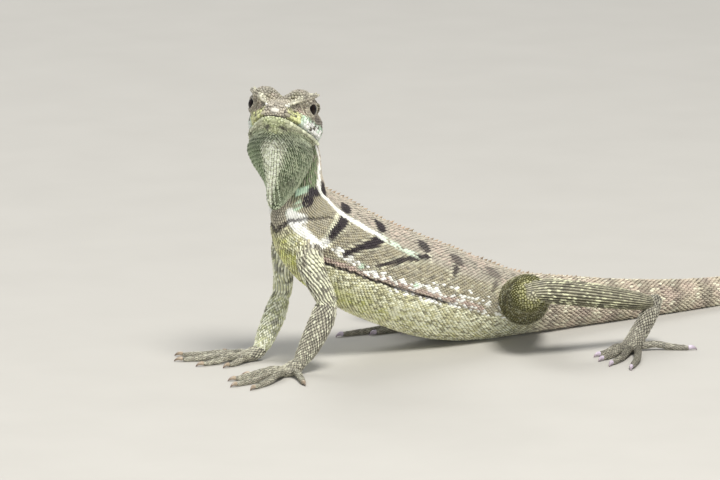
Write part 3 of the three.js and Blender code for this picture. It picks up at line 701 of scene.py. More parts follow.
def trunkColours(p, t, turn, chance):
    marks = blankMarks(len(t))
    section, degrees = t * spineSpans, np.degrees(np.abs(turn))
    flat = rolledOut(section, degrees)
    rough = wobble(p, 2.3, 1)
    fold = foldDegrees(section)
    neck = 1 - smooth(2.6, 3.2, section)
    tail = smooth(8.6, 9.8, section)

    def near(name, solid, faded, ragged=0.0):  # 1 on a marking's path, 0 past its faded edge
        return 1 - smooth(solid, faded, pathDistance(flat, markPath(name))[0] + ragged * rough)

    stripeLevel = np.interp(section, *np.array(trunkMarks["stripe"]).T)
    marks["flank"] = smooth(-6, 6, degrees - stripeLevel) * (1 - tail)
    lift(marks, "tan", marks["flank"] * (chance < .4) * .75 * (degrees < fold))
    under = smooth(-3, 7, degrees - fold + 2 * rough) * (1 - tail) * smooth(2.7, 3.2, section)
    marks["belly"] = under * (1 - .35 * smooth(6, 8.5, section))
    low = smooth(6, 36, degrees - fold) * (1 - smooth(60, 85, degrees - fold))
    front = 1 - smooth(4.2, 6.6, section)
    broken = np.clip(.5 + .6 * rough + .7 * (chance - .4), 0, 1)
    marks["bright"] = under * low * (.25 + .75 * front) * broken
    lift(marks, "cream", (chance > .55) * under * (.95 - .6 * low * front))
    lift(marks, "dark", (chance < .13) * under * .42)
    hindSpeck = (chance > .94) * (1 - under) * smooth(5, 6.5, section)
    lift(marks, "cream", hindSpeck * .4 * (degrees > 58) * (1 - tail))
    back = (1 - smooth(-14, -2, degrees - stripeLevel)) * (1 - tail * .6)
    marks["pink"] = back * np.clip(.15 + .4 * wobble(p, 5.5, 2) + .5 * (chance - .5), 0, 1)
    lift(marks, "tan", bump(flat[:, 1], 1.8) * .7 * (1 - tail))
    lift(marks, "dark", (chance < .16) * back * .3)
    marks["tailBrown"] = tail
    # the pale stripe, which breaks up past the shoulders
    half = trunkMarks["stripeHalf"]
    pale = near("stripe", half - .25, half + .3, .25)
    pale = pale * (1 - smooth(5.7, 6.3, section)) * np.where(section > 5.0, chance > .3, 1)
    lift(marks, "white", pale * (1 - .7 * smooth(4.7, 5.1, section)))
    lift(marks, "mint", pale * smooth(4.5, 5.0, section) * .8)
    # dark saddles above the stripe and slanting bars below it, each with a pale fringe
    for s, d, strength in trunkMarks["saddles"]:
        away = np.abs(flat - rolledOut([s], [d])[0]) / np.array(trunkMarks["saddleHalf"])
        patch = 1 - smooth(.85, 1.15, (away**3).sum(1)**(1 / 3) + .16 * rough)
        lift(marks, "dark", patch * strength * (1 - pale))
    fringe = np.zeros(len(t))
    for path, (wideStart, wideEnd), strength in zip(trunkMarks["barPaths"], trunkMarks["barHalves"],
                                                    trunkMarks["barStrengths"]):
        gap, share = pathDistance(flat, rolledOut(*np.array(path).T))
        half = wideStart + (wideEnd - wideStart) * share
        gap = gap + .22 * rough
        lift(marks, "dark", (1 - smooth(half - .3, half + .35, gap)) * strength * (1 - pale))
        fringe = np.maximum(fringe, bump(gap - half - .75, .4) * strength)
    lift(marks, "cream", fringe * (.35 + .5 * chance) * .8)
    lift(marks, "cream", near("barEdge", .3, .6) * .9)
    lift(marks, "dark", near("blotch", 1.2, 1.8, .8) * (1 - pale) * (.6 + .4 * (chance > .2)))
    # painted shade in the armpit, behind and under the arm
    lift(marks, "dark", near("armpit", .9, 1.9, .5) * .85)
    # pale patches of the neck and shoulder
    lift(marks, "mint", near("neckMint", .8, 1.4, .3) * .85)
    lift(marks, "mint", near("collarMint", .8, 1.4, .3) * (.55 + .45 * np.sin(flat[:, 0] * 3.6)) * .85)
    for name, half, narrows in (("neckWhite", 1.3, 0), ("shoulder", 1.4, .42)):
        gap, share = pathDistance(flat, markPath(name))
        wide = half * (1 - narrows * share)
        patch = 1 - smooth(wide - .3, wide + .3, gap + .35 * rough)
        lift(marks, "white", patch)
        marks["dark"] *= 1 - patch
    # flecks of white and mint in line above the side fold, doubled towards the hip
    chain = rolledOut(*np.array([spot[:2] for spot in trunkMarks["spots"]]).T)
    here = (section < 8.6) * (wobble(p, .95, 14) > -.05)
    for below, first, wide, rare in trunkMarks["flecks"]:
        gap = pathDistance(flat - np.array([0, below]), chain)[0]
        lift(marks, "white", (gap + .45 * rough < wide) * (chance > rare) * (section > first) * here * 1.0)
    for s, d, radius in trunkMarks["spots"]:
        gap = np.linalg.norm(flat - rolledOut([s], [d])[0], axis=1)
        patch = 1 - smooth(radius - .5, radius + .4, gap + .6 * rough)
        lift(marks, "white" if s < 4.5 or s > 6.9 else "mint", patch * .9)
        marks["dark"] *= 1 - patch * .8
    # folds of skin
    lift(marks, "dark", flankCreases(section, degrees, flat, rough) * .5)
    gap, share = pathDistance(flat, markPath("gularFold"))
    lift(marks, "dark", (1 - smooth(.25, .65, gap)) * (.9 - .3 * share))
    gap, share = pathDistance(flat, markPath("sideFold"))
    lift(marks, "dark", (1 - smooth(.2, .6, gap + .1 * rough)) * (1 - .7 * smooth(.75, 1, share)) * .9)
    above = pathDistance(flat + np.array([0, 1.1]), markPath("sideFold"))[0]
    lift(marks, "pink", (1 - smooth(.4, 1.1, above)) * .95 * (degrees < fold))
    # the neck's front and chest
    front = neck * smooth(148, 160, degrees)
    lift(marks, "tan", front * smooth(2.0, 2.3, section))
    lift(marks, "throat", neck * (1 - smooth(2.0, 2.35, section)) * smooth(90, 97, degrees))
    chest = smooth(2.85, 3.05, section) * (1 - smooth(4.0, 4.6, section)) * smooth(138, 150, degrees)
    lift(marks, "bright", chest * np.clip(.4 + .6 * rough, 0, 1) * .9)
    lift(marks, "dark", chest * (wobble(p, 1.6, 5) > .45) * .45)
    # the tail's rings, 13 mm apart, and pale specks
    ring = np.sin(flat[:, 0] * 2 * math.pi / 13 + .8 * rough)
    lift(marks, "dark", tail * smooth(.35, .9, ring) * (.34 + .14 * smooth(11, 13, section)))
    lift(marks, "pink", tail * np.clip(.3 + .5 * wobble(p, 4.0, 6), 0, 1))
    lift(marks, "cream", tail * (chance > .86) * .55 * (1 - smooth(12, 14, section)))
    return marks


# Purplish brown before, under and behind the eye, with a pale rim to the lids; the pale line from the lip
# over the cheek to the neck; the pale brow edge over painted shade in the hollow beneath; nasal spots, and
# the snout's silver-grey tip with a painted highlight
def eyeSurrounds(marks, h, rise, bare, chance):
    x, y, z = h[:, 0], np.abs(h[:, 1]), h[:, 2]
    eyeGap = np.hypot((x - eyeBall["x"]) / 1.5, z - eyeBall["z"])
    socket = (1 - smooth(2.8, 4.6, eyeGap)) * smooth(5.4, 6.8, y) * bare
    lift(marks, "tan", socket)
    lift(marks, "cream", socket * (.1 + .3 * (chance > .5)))
    lift(marks, "pink", socket * .3)
    for name in ("olive", "limbGrey", "dark"):
        marks[name] *= 1 - socket
    angle, almond, reach = lidAngles(h, np.where(h[:, 1] > 0, 1, -1))
    lift(marks, "cream", bump(angle - almond - 9, 4.5) * (reach < 4.2) * .25)
    before = bump((x - 6.2) / 2.6, 1) * bump((z + 1.9) / 1.3, 1) * smooth(5, 6.2, y) * bare
    lift(marks, "pink", before * .8)
    behind = (1 - smooth(-4, -2, x)) * bump(z + 1.6, 2.2) * bare * smooth(7, 9, y) * (rise > 2.6)
    lift(marks, "dark", behind * .72)
    cheek = (1 - smooth(-13, -11, x)) * bump(z + 5.6, 1.4) * smooth(6, 8, y) * bare
    lift(marks, "mint", cheek)
    lift(marks, "white", cheek * .5)
    brow = np.array(browRidge)[:, :3]
    folded = np.column_stack([x, y, z])
    # painted shade: a dark band under the brow edge, where the eave shades the hollow
    gap, share = pathDistance(folded - [0, .7, -1.9], brow)
    lift(marks, "dark", (1 - smooth(.3, 1.2, gap)) * .36 * bare * smooth(.05, .2, share))
    edge = (1 - smooth(.8, 1.25, pathDistance(folded, brow)[0])) * bare
    lift(marks, "cream", edge * .45)
    for name in ("dark", "olive"):
        marks[name] *= 1 - edge * .85
    # pale nasal spots, and at the snout's tip a faint white over the silver-grey plate, which is a painted
    # highlight
    for spot, radius, strength in (((13.6, 3.6, -1.9), .8, .9), ((16.6, 0, -4.2), 1.1, .3)):
        gap = np.linalg.norm(folded - spot, axis=1)
        lift(marks, "white", (1 - smooth(radius - .3, radius + .3, gap)) * strength)


def headColours(h, turn, chance, onPouch):
    x, y, z = h[:, 0], np.abs(h[:, 1]), h[:, 2]
    marks = blankMarks(len(x))
    bare = 1 - onPouch
    rough = wobble(h, 1.5, 3)
    rise = z - np.interp(x, *np.array(mouthLine[::-1]).T)
    below = (1 - smooth(-.5, .1, rise)) * bare
    crown = smooth(.2, 2.2, z) * bare
    marks["throat"] = np.maximum(below, onPouch)
    marks["tan"] = (1 - below) * bare * (.75 + .25 * crown)
    lift(marks, "limbGrey", crown * .8)
    lift(marks, "pink", crown * np.clip(.6 * rough, 0, 1) * .5)
    snout = smooth(8, 12, x) * smooth(1.5, 3, rise)
    lift(marks, "dark", (crown * .2 + .1 + .16 * snout) * bare * (1 - below))
    lift(marks, "olive", crown * np.clip(.05 + .5 * wobble(h, 2.4, 12), 0, 1) * .6)
    lift(marks, "dark", crown * smooth(.3, .7, wobble(h, 1.1, 7)) * .6)
    # lips: yellow-green near the snout, mint and white towards the corner, further back on the right side
    upper = smooth(.05, .5, rise) * (1 - smooth(3.2, 4.4, rise + .5 * rough)) * smooth(-13.5, -12, x) * bare
    turnPlace = np.where(h[:, 1] > 0, 6.5, -2.0) + 1.6 * rough
    yellowLip = upper * smooth(-3, 0, x - turnPlace) * (1 - smooth(13.2, 15.2, x))
    lift(marks, "bright", yellowLip * .4)
    lift(marks, "yellow", yellowLip * (.65 + .35 * (chance > .4)))
    lift(marks, "mint", upper * (1 - smooth(-1.5, 1.5, x - turnPlace)))
    whiteLip = upper * (1 - smooth(-5, 1, x - turnPlace)) * (rise < 3.2)
    lift(marks, "white", whiteLip * (.35 + .65 * (chance > .3)))
    lift(marks, "dark", upper * (chance < .2) * (rise > 1.2) * .7)
    for name in ("mint", "white"):
        marks[name] *= 1 - upper * (chance < .2) * (rise > 1.2)
    band = below * smooth(-2.5, -2.1, rise)
    lift(marks, "tan", band * .55 * smooth(2.5, 5, y))
    lift(marks, "cream", band * (.05 + .15 * (chance > .5)))
    lift(marks, "dark", bump(rise + .05, .26) * (x > -12.6) * bare * .95)
    secondLine = bump(rise + chinLineDrop, .55) * smooth(-12, -10, x) * (1 - smooth(13, 14.4, x))
    lift(marks, "dark", secondLine * bare * .9)
    # chin: pale yellow-green, speckled
    chin = np.maximum(below, onPouch * smooth(-12.5, -8.5, z))
    marks["throat"] *= 1 - .68 * chin
    lift(marks, "belly", chin)
    lift(marks, "bright", chin * smooth(0, 12, x) * .25)
    lift(marks, "mint", chin * .16)
    lift(marks, "cream", chin * (chance > .55) * .4)
    eyeSurrounds(marks, h, rise, bare, chance)
    # throat pouch: a pale scaled keel in front, paler lines, and painted shade where it leaves the chin
    around = np.abs(turn)
    keel = onPouch * smooth(2.5, 2.8, around) * (1 - smooth(-13.5, -10.5, z))
    lift(marks, "cream", keel * (.85 + .15 * (chance > .4)))
    lift(marks, "white", keel * .5 * (chance > .55))
    hind = onPouch * (1 - smooth(.25, .6, around)) * (1 - smooth(-22, -16, z))
    lift(marks, "cream", hind * .6)
    lift(marks, "cream", onPouch * (.1 + .3 * (chance > .6)) * (1 - smooth(-12, -8, z)) * (h[:, 1] > -2))
    # painted shade under the chin, stronger in the folds at both sides of the pouch
    lift(marks, "dark", onPouch * bump(z + 11.6, 2.6) * (.25 + .2 * smooth(1.5, 4, y)))
    lift(marks, "dark", onPouch * smooth(.35, .8, wobble(h, 3.2, 9)) * .3 * (1 - keel))
    nape = 1 - smooth(-17, -12, x)
    lift(marks, "dark", nape * crown * .2)
    return marks


# On plain parts: grey ground, dark over it, the share without pale specks, and the specks' strength
limbGrounds = {"armLower": (.95, .16, .72, .55), "hand": (.95, .2, .75, .35), "foot": (.9, .42, .8, .3)}


def limbColours(name, p, t, turn, chance):
    marks = blankMarks(len(t))
    limb, part = name.rsplit("_", 1)
    arm = limb.endswith("arm")
    kind = "hand" if arm else "foot"
    if part in ("upper", "lower"):
        kind = ("arm" if arm else "leg") + part.capitalize()
    rough = wobble(p, 2.1, 4)
    if kind in limbGrounds:
        ground, dark, rare, pale = limbGrounds[kind]
        marks["limbGrey"] += ground
        lift(marks, "dark", dark)
        lift(marks, "cream", (chance > rare) * pale)
    elif kind == "armUpper":
        marks["limbGrey"] += .8
        lift(marks, "olive", np.clip(.2 + .3 * rough, 0, 1) * .35)
        lift(marks, "cream", (chance > .3) * .62 * smooth(.15, .45, t))
        lift(marks, "yellow", (chance > .6) * .35 * smooth(.15, .5, t))
    elif kind == "legUpper":
        knee = smooth(.62, .8, t)
        marks["olive"] += .85 + .15 * knee
        lift(marks, "bright", knee * np.clip(.2 + .3 * rough, 0, 1) * .35)
        lift(marks, "cream", (chance > .8) * .45 * (1 - knee))
        lift(marks, "dark", .08 * knee + (1 - knee) * (.14 + .3 * (chance < .3)))
    else:
        # the shin: darker and more olive towards its underside, which is painted shade
        under = smooth(-.2, .6, -np.cos(turn))
        marks["limbGrey"] += .8
        lift(marks, "olive", .25 + .3 * under)
        lift(marks, "dark", np.clip(.2 + .3 * rough + .3 * under, 0, .7) * smooth(.02, .3, t))
        dashes = (chance > .78) * smooth(.06, .2, t) * (1 - smooth(.55, .85, t))
        marks["dark"] *= 1 - .8 * dashes
        lift(marks, "yellow", dashes * .4)
        lift(marks, "cream", dashes * .4)
    # the far arm: its own yellow-green with dark blotches, painted paler still, with no dark and with white
    # that evens its seams, as painted light against the shadow the body casts on it
    if limb == "right_arm" and kind != "hand":  # paler and yellower, with dark blotches
        marks["limbGrey"] *= .2
        marks["dark"] *= 0
        lift(marks, "yellow", .95)
        lift(marks, "cream", .2 + .5 * (chance > .6))
        lift(marks, "white", .15 + .25 * (chance > .5))
        blotches = smooth(.3, .6, wobble(p, 1.9, 8)) * (1 - smooth(.45, .8, t) * (part == "lower"))
        lift(marks, "dark", blotches * .65)
    if part.startswith("digit"):
        lift(marks, "dark", smooth(.55, .95, np.sin(t * 24)) * .25)
    lift(marks, "dark", (chance < .09) * .35)
    return marks


# Over a limb's root the trunk's markings go on
rootShare = {"arm_upper": (.2, .32), "leg_upper": (.16, .34)}
spineSamples = formSamples[formSamples[:, 5] == formIndex["spine"]]
spineTree = treeOf(spineSamples[:, :3])


def limbOnTrunk(name, p, t, turn, chance):
    marks = limbColours(name, p, t, turn, chance)
    kind = name.split("_", 1)[1]
    if kind not in rootShare:
        return marks
    start, end = rootShare[kind]
    close = np.nonzero(t < end)[0]
    if len(close):
        nearest = spineSamples[[spineTree.find(q)[1] for q in p[close]]]
        trunk = trunkColours(p[close], nearest[:, 3], nearest[:, 4], chance[close])
        share = smooth(start, end, t[close])
        for layer in layers:
            marks[layer][close] = marks[layer][close] * share + trunk[layer] * (1 - share)
    return marks


def colourMarks(p, place, chance):  # every layer's strength, 0 to 1, for points on any form
    marks = blankMarks(len(p))
    for name in formNames:
        here = np.nonzero(place[:, 2] == formIndex[name])[0]
        if not len(here):
            continue
        t, turn = place[here, 0], place[here, 1]
        if name == "spine":
            found = trunkColours(p[here], t, turn, chance[here])
        elif name in ("head", "pouch"):
            onPouch = np.full(len(here), 1.0 * (name == "pouch"))
            found = headColours(toHead(p[here]), turn, chance[here], onPouch)
        else:
            found = limbOnTrunk(name, p[here], t, turn, chance[here])
        for layer in layers:
            marks[layer][here] = np.clip(found[layer], 0, 1)
    return marks


# Folds, mouth line, nostrils, ear cups and eye sockets pressed into the skin

# depth and half width in millimetres
press = {"mouth": (.62, .34), "chinLine": (.3, .3), "gularFold": (.75, .8), "sideFold": (.55, .6),
         "nostril": (.8, .62), "ear": (.75, 2.1), "socket": 2.55, "crease": .3, "hollow": (.85, 1.5),
         "ripple": .13, "rippleLength": 4.5}
hollowPath = np.array([(12.0, 4.6, -2.9), (8.5, 6.6, -1.9), (5.2, 8.2, -.9)])  # under the brow edge
mouthCorner = (-13.4, -11.8)  # between these the mouth line fades out


def mouthRise(h):
    return h[:, 2] - np.interp(h[:, 0], *np.array(mouthLine[::-1]).T)


def sculpt(p, normals, place):
    h = toHead(p)
    onHead = np.isin(place[:, 2], [formIndex["head"], formIndex["pouch"]])
    depth = np.zeros(len(p))
    rise = mouthRise(h)
    alongMouth = smooth(*mouthCorner, h[:, 0]) * onHead
    depth += bump(rise, press["mouth"][1]) * press["mouth"][0] * alongMouth
    depth += bump(rise + chinLineDrop, press["chinLine"][1]) * press["chinLine"][0] * alongMouth
    for side in (1, -1):
        hole = np.linalg.norm(h - placeIn(nostril, side), axis=1)
        depth += bump(hole, press["nostril"][1]) * press["nostril"][0] * onHead
        drum = np.linalg.norm((h - placeIn(eardrum, side)) * [1, .5, .87], axis=1)
        depth += (1 - smooth(press["ear"][1] - .7, press["ear"][1], drum)) * press["ear"][0] * onHead
    gap = pathDistance(np.column_stack([h[:, 0], np.abs(h[:, 1]), h[:, 2]]), hollowPath)[0]
    depth += bump(gap, press["hollow"][1]) * press["hollow"][0] * onHead
    onSpine = place[:, 2] == formIndex["spine"]
    section, degrees = place[:, 0] * spineSpans, np.degrees(np.abs(place[:, 1]))
    flat = rolledOut(section, degrees)
    for name in ("gularFold", "sideFold"):
        gap, share = pathDistance(flat, markPath(name))
        fade = smooth(0, .08, share) * (1 - smooth(.75, 1, share)) if name == "sideFold" else 1 - .6 * share
        depth += bump(gap, press[name][1]) * press[name][0] * fade * onSpine
    depth += onSpine * press["crease"] * flankCreases(section, degrees, flat, wobble(p, 2.3, 1))
    trunk = onSpine * smooth(2.8, 3.6, section) * (1 - smooth(8.5, 9.5, section))
    side = smooth(35, 60, degrees) * (1 - smooth(140, 165, degrees))
    depth += trunk * side * press["ripple"] * wobble(p, press["rippleLength"], 11)
    p = p - normals * depth[:, None]
    h = toHead(p)
    for side in (1, -1):  # a socket under the eyeball, so that only the lids meet it
        centre = placeIn(eyeBall, side)
        away = h - centre
        reach = np.linalg.norm(away, axis=1)
        ring = np.hypot(away[:, 0] / lid["long"], away[:, 2] / lid["high"])
        opening = 1 - smooth(lid["round"] - .5, lid["round"] + .1, ring)
        opening = opening * (away[:, 1] * side > 0) * (reach < 6)
        sunk = centre + away / np.maximum(reach, .01)[:, None] * press["socket"]
        h = h + (sunk - h) * (opening * (reach > press["socket"]))[:, None]
    moved = np.abs(h - toHead(p)).sum(1) > 1e-6
    p[moved] = fromHead(h[moved])
    p[:, 2] = np.maximum(p[:, 2], skinSizes["floorLift"])
    return p


skinPlace = placeOf(points)
points = sculpt(points, vertexNormals(skin.data), skinPlace)
setPoints(skin.data, points)


# Eyelids: a rolled rim round an almond opening, swelling out of the socket and sinking into the head

def eyelid(side):
    axis, level = lidAxes(side)
    shares, radii = np.array(lidShape["profile"]).T
    made, faces, around = [], [], lidShape["around"]
    for i in range(lidShape["rings"] + 1):
        share = (i / lidShape["rings"]) ** lidShape["closeRim"]
        for j in range(around):
            b = 2 * math.pi * j / around
            c, s = math.cos(b), math.sin(b)
            almond = float(lidOpening(c, s))
            angle = math.radians(almond + (lidShape["edge"] - almond) * share)
            swell = lidShape["upperSwell"] * max(0, s) * float(bump(share - .25, .2))
            across = level * c * lidShape["long"] + np.array([0, 0, s])
            away = axis * math.cos(angle) + across * math.sin(angle)
            made.append(away * (np.interp(share, shares, radii) + swell))
            if i < lidShape["rings"]:
                a, n = i * around, (j + 1) % around
                face = (a + j, a + n, a + around + n, a + around + j)
                faces.append(face if side < 0 else face[::-1])
    return fromHead(np.array(made) + placeIn(eyeBall, side)), faces


def joinLids(points):  # the lids become part of the one skin
    built = bmesh.new()
    built.from_mesh(skin.data)
    everything = [points]
    for side in (1, -1):
        lidPoints, lidFaces = eyelid(side)
        new = [built.verts.new(p) for p in toFrame(lidPoints)]
        for face in lidFaces:
            built.faces.new([new[i] for i in face])
        everything.append(lidPoints)
    built.to_mesh(skin.data)
    built.free()
    return np.vstack(everything)


points = joinLids(points)
lidCount = 2 * lidShape["around"] * (lidShape["rings"] + 1)
skinPlace = np.vstack([skinPlace, placeOf(points[-lidCount:])])
skinPlace[-lidCount:, 2] = formIndex["head"]
skin.data.update()
skinNormals = vertexNormals(skin.data)
skinFaces = np.array([list(f.vertices)[:3] for f in skin.data.polygons])
skinTree = BVHTree.FromPolygons(points.tolist(), [tuple(f.vertices) for f in skin.data.polygons])
print("skin folded")


def onSkin(p):  # nearest places on the skin, with its smoothed normals
    spots, normals = np.empty_like(p), np.empty_like(p)
    for i, q in enumerate(p):
        spot, normal, face, gap = skinTree.find_nearest(Vector(q))
        spots[i] = spot
        normals[i] = skinNormals[skinFaces[face]].sum(0)
    return spots, unit(normals)


# Rows of scales on each form: how wide, how many round, how far from row to row, how long and how high.
# A width is in millimetres; a count holds the rows in line from end to end, as on the real trunk.
rowPlans = {
    "neck": {"from": .62 / spineSpans, "to": 2.35 / spineSpans, "count": 62, "pitch": 1.2, "long": .95,
             "high": .4, "inLine": True, "narrow": .74},
    "trunk": {"from": 2.35 / spineSpans, "to": 9.2 / spineSpans, "count": 82, "pitch": .74, "long": .92,
              "high": .34, "narrow": .9},
    "tail": {"from": 9.2 / spineSpans, "to": 1, "wide": 1.3, "pitch": .8, "long": .95, "high": .32,
             "narrow": .9},
    "pouch": {"count": 58, "drift": 27, "pitch": 1.05, "long": 1.1, "high": .55, "narrow": .54},
    "armUpper": {"from": .2, "count": 20, "pitch": 1.0, "long": .86, "high": .32, "inLine": True,
                 "narrow": .82},
    "armLower": {"count": 18, "pitch": .66, "long": .8, "high": .3, "narrow": .8},
    "legUpper": {"to": .86, "count": 34, "pitch": .8, "long": .82, "high": .32, "narrow": .8},
    "legLower": {"count": 24, "pitch": 1.1, "long": .88, "high": .34, "inLine": True, "narrow": .84},
    "palm": {"wide": .95, "pitch": .7, "long": .9, "high": .3, "narrow": .88},
    "digit": {"count": 8, "pitch": .9, "long": .9, "high": .24, "narrow": .9},
}
smallestScale = .3  # half width under which no scale is made
highestScale = .4
buriedLimit = .55  # a row's place deeper than this in another form carries no scale
countSlack = .16  # a row keeps the last row's count while that is this near to its own
sizeSpread = .07
rng = np.random.default_rng(17)


def ringRows(form, plan):
    start, end = plan.get("from", 0), plan.get("to", 1)
    dense = np.linspace(start, end, 3000)
    arc = arcLengths(form(dense)[0])
    samples = np.linspace(-math.pi, math.pi, 145)
    found, at, row, count = [], 0.0, 0, plan.get("count")
    while at < arc[-1]:
        t = np.interp(at, arc, dense)
        tt = np.full(len(samples), t)
        ring = surface(form, tt, samples, skinInset(form, tt))
        lengths = arcLengths(ring)
        if "wide" in plan:
            ideal = lengths[-1] / plan["wide"]
            if count is None or abs(count - ideal) > countSlack * ideal:
                count = max(6, 2 * round(ideal / 2))
        wide = lengths[-1] / count
        stagger = 0 if plan.get("inLine") else .5 * (row % 2)
        steps = (np.arange(count) + .25 + stagger) % count
        if "drift" in plan:  # lines from the front keel down to the back edge, alike on both sides
            steps = (np.arange(count // 2) + plan["drift"] * t) % (count // 2) + .25
            steps = np.concatenate([steps, count - steps])
        turns = np.interp(steps * wide, lengths, samples)
        found.append(np.column_stack([np.full(len(turns), t), turns, np.full(len(turns), wide / 2),
                                      np.full(len(turns), wide * plan["pitch"])]))
        at += wide * plan["pitch"]
        row += 1
    return np.vstack(found)


def planFor(name):
    if name == "pouch":
        return rowPlans["pouch"]
    limb, part = name.rsplit("_", 1)
    if part.startswith("digit"):
        return rowPlans["digit"]
    if part == "palm":
        return rowPlans["palm"]
    return rowPlans[("arm" if limb.endswith("arm") else "leg") + part.capitalize()]


def layScales(name, plan):  # one record for each scale that lies on open skin
    form = forms[name]
    t, turn, half, pitch = ringRows(form, plan).T
    inset = skinInset(form, t)
    p = surface(form, t, turn, inset)
    lean = -np.sign(turn) * 1e-3 * plan.get("drift", 0) * 2 * math.pi / plan.get("count", 1)
    ahead = (surface(form, np.minimum(t + 1e-3, 1), turn + lean, inset)
             - surface(form, np.maximum(t - 1e-3, 0), turn - lean, inset))
    spots, normals = onSkin(p)
    size = 1 + sizeSpread * rng.standard_normal(len(t))
    made = {"spot": spots, "normal": normals, "lie": laidAlong(ahead, normals),
            "wide": half * plan.get("narrow", 1.0) * size, "long": pitch * plan["long"] * size,
            "high": np.minimum(half * 2 * plan["high"], highestScale),
            "place": np.column_stack([t, turn, np.full(len(t), formIndex[name])]),
            "chance": rng.random(len(t))}
    return only(made, (np.linalg.norm(spots - p, axis=1) < buriedLimit) & (half > smallestScale * .5))


rowScales = [layScales("spine", rowPlans[name]) for name in ("neck", "trunk", "tail")]
rowScales += [layScales(name, planFor(name)) for name in formNames if name not in ("spine", "head")]
scales = joined(rowScales)
print("rows laid", len(scales["wide"]))


def dropCrossings(found):  # where rows of two forms meet, the first form's scales stay
    tree = treeOf(found["spot"])
    form = found["place"][:, 2]
    kept = np.ones(len(form), bool)
    for i, spot in enumerate(found["spot"]):
        for near, j, gap in tree.find_range(spot, 1.5 * found["wide"][i]):
            if j < i and kept[j] and form[j] != form[i]:
                kept[i] = False
                break
    return only(found, kept)


scales = dropCrossings(scales)
print("rows kept", len(scales["wide"]))

# Plates set one by one along the lips, the brow edge, the snout and round each nostril and ear
plateRows = {
    "upperLip": {"rise": 1.0, "from": 15.2, "to": -10.6, "count": 12, "wide": .62, "high": .34,
                 "flare": 1.6},
    "upperLipSecond": {"rise": 2.25, "from": 14.0, "to": -10.5, "count": 13, "wide": .58, "high": .3,
                       "flare": .4},
    "lowerLip": {"rise": -1.15, "from": 15.0, "to": -10.4, "count": 12, "wide": .66, "high": .3,
                 "flare": 1.6},
    "chinEdge": {"rise": -3.3, "from": 13.4, "to": -9.5, "count": 14, "wide": .6, "high": .28,
                 "flare": .4},
    "browEdge": {"count": 13, "long": 1.05, "wide": .42, "high": .26},
    "pouchKeel": {"from": .3, "to": .99, "pitch": .8, "columns": (.42, 1.2, 1.95), "long": .5, "wide": .42,
                  "high": .4},
    "pouchHind": {"from": .62, "to": .99, "pitch": .8, "columns": (.4,), "long": .48, "wide": .4,
                  "high": .36},
    "nostrilRing": {"count": 7, "radius": 1.05, "size": .42, "high": .3, "facing": (.75, .65)},
    "earRing": {"count": 15, "radius": 2.45, "size": .42, "high": .3, "facing": (0, 1)},
    "snout": [((16.6, 0, -4.3), 1.5, .75, .4), ((16.2, 0, -7.2), 1.35, .7, .35),
              ((15.4, 1.5, -2.9), .85, .7, .35), ((15.4, -1.5, -2.9), .85, .7, .35),
              ((13.6, 0, -1.6), .9, .8, .3)],
}
plateReach = 2.2  # a plate whose place is further off the skin is left out
lipOverlap = .52


def lipPlates(add, side):
    lipCurve = np.array([(x, y, z) for x, y, z, share in lipLine] + [lipApex[:3]], float)
    x, y, z = curveAt(lipCurve, np.linspace(0, 1, 400)).T
    for name in ("upperLip", "upperLipSecond", "lowerLip", "chinEdge"):
        row = plateRows[name]
        xs = np.linspace(row["from"], row["to"], row["count"])
        at = np.column_stack([xs, np.interp(xs, x, y), np.interp(xs, x, z)])
        for i, spot in enumerate(at):
            step = at[min(i + 1, len(at) - 1)] - at[max(i - 1, 0)]
            gap = np.linalg.norm(step) / (2 if 0 < i < len(at) - 1 else 1)
            wide = row["wide"] * (1 + .12 * rng.standard_normal())
            h = (spot[0], (spot[1] + row["flare"]) * side, spot[2] + row["rise"])
            add(h, step * [1, side, 1], gap * lipOverlap, wide, row["high"])


def browPlates(add, side):
    brow = np.array([(x, (y + wide) * side, z) for x, y, z, wide, high in browRidge])
    row = plateRows["browEdge"]
    for share in np.linspace(.06, .93, row["count"]):
        h, ahead, behind = curveAt(brow, np.array([share, share - .03, share + .03]))
        add(h, ahead - behind, row["long"] * (1 - .3 * share), row["wide"] * (1 - .25 * share), row["high"])


def ringPlates(add, side, row, hole):
    outward = np.array([row["facing"][0], row["facing"][1] * side, 0])
    across = unit(np.cross(outward, [0, 0, 1]))
    rise = np.cross(across, outward)
    for k in range(row["count"]):
        angle = 2 * math.pi * k / row["count"]
        ring = across * math.cos(angle) + rise * math.sin(angle)
        along = across * -math.sin(angle) + rise * math.cos(angle)
        h = placeIn(hole, side) + ring * row["radius"] + outward * .4
        add(h, along, row["size"], row["size"], row["high"])


def pouchPlates(add, row, edge):  # columns of plates along the pouch's front keel or its back edge
    dense = np.linspace(row["from"], row["to"], 400)
    arc = arcLengths(surface(pouchForm, dense, np.full(400, edge)))
    for number, stop in enumerate(np.arange(0, arc[-1], row["pitch"])):
        for column, offset in enumerate(row["columns"]):
            t = np.interp(stop + (column + number) % 2 * .2 * row["pitch"], arc, dense)
            form = pouchForm(np.array([t]))
            full = (form[7] if edge else form[6])[0]
            angle = math.asin(min(1, (offset / max(form[3][0], offset))**(full / 2)))
            size = 1 - .35 * smooth(.85, 1, t)
            long, wide = row["long"] * size, row["wide"] * size
            for side in (1, -1):
                turn = side * (math.pi - angle) if edge else side * angle
                near = surface(pouchForm, np.array([t - 2e-3, t, min(t + 2e-3, 1)]), np.full(3, turn))
                add(toHead(near[1]), toHead(near[2]) - toHead(near[0]), long, wide, row["high"])


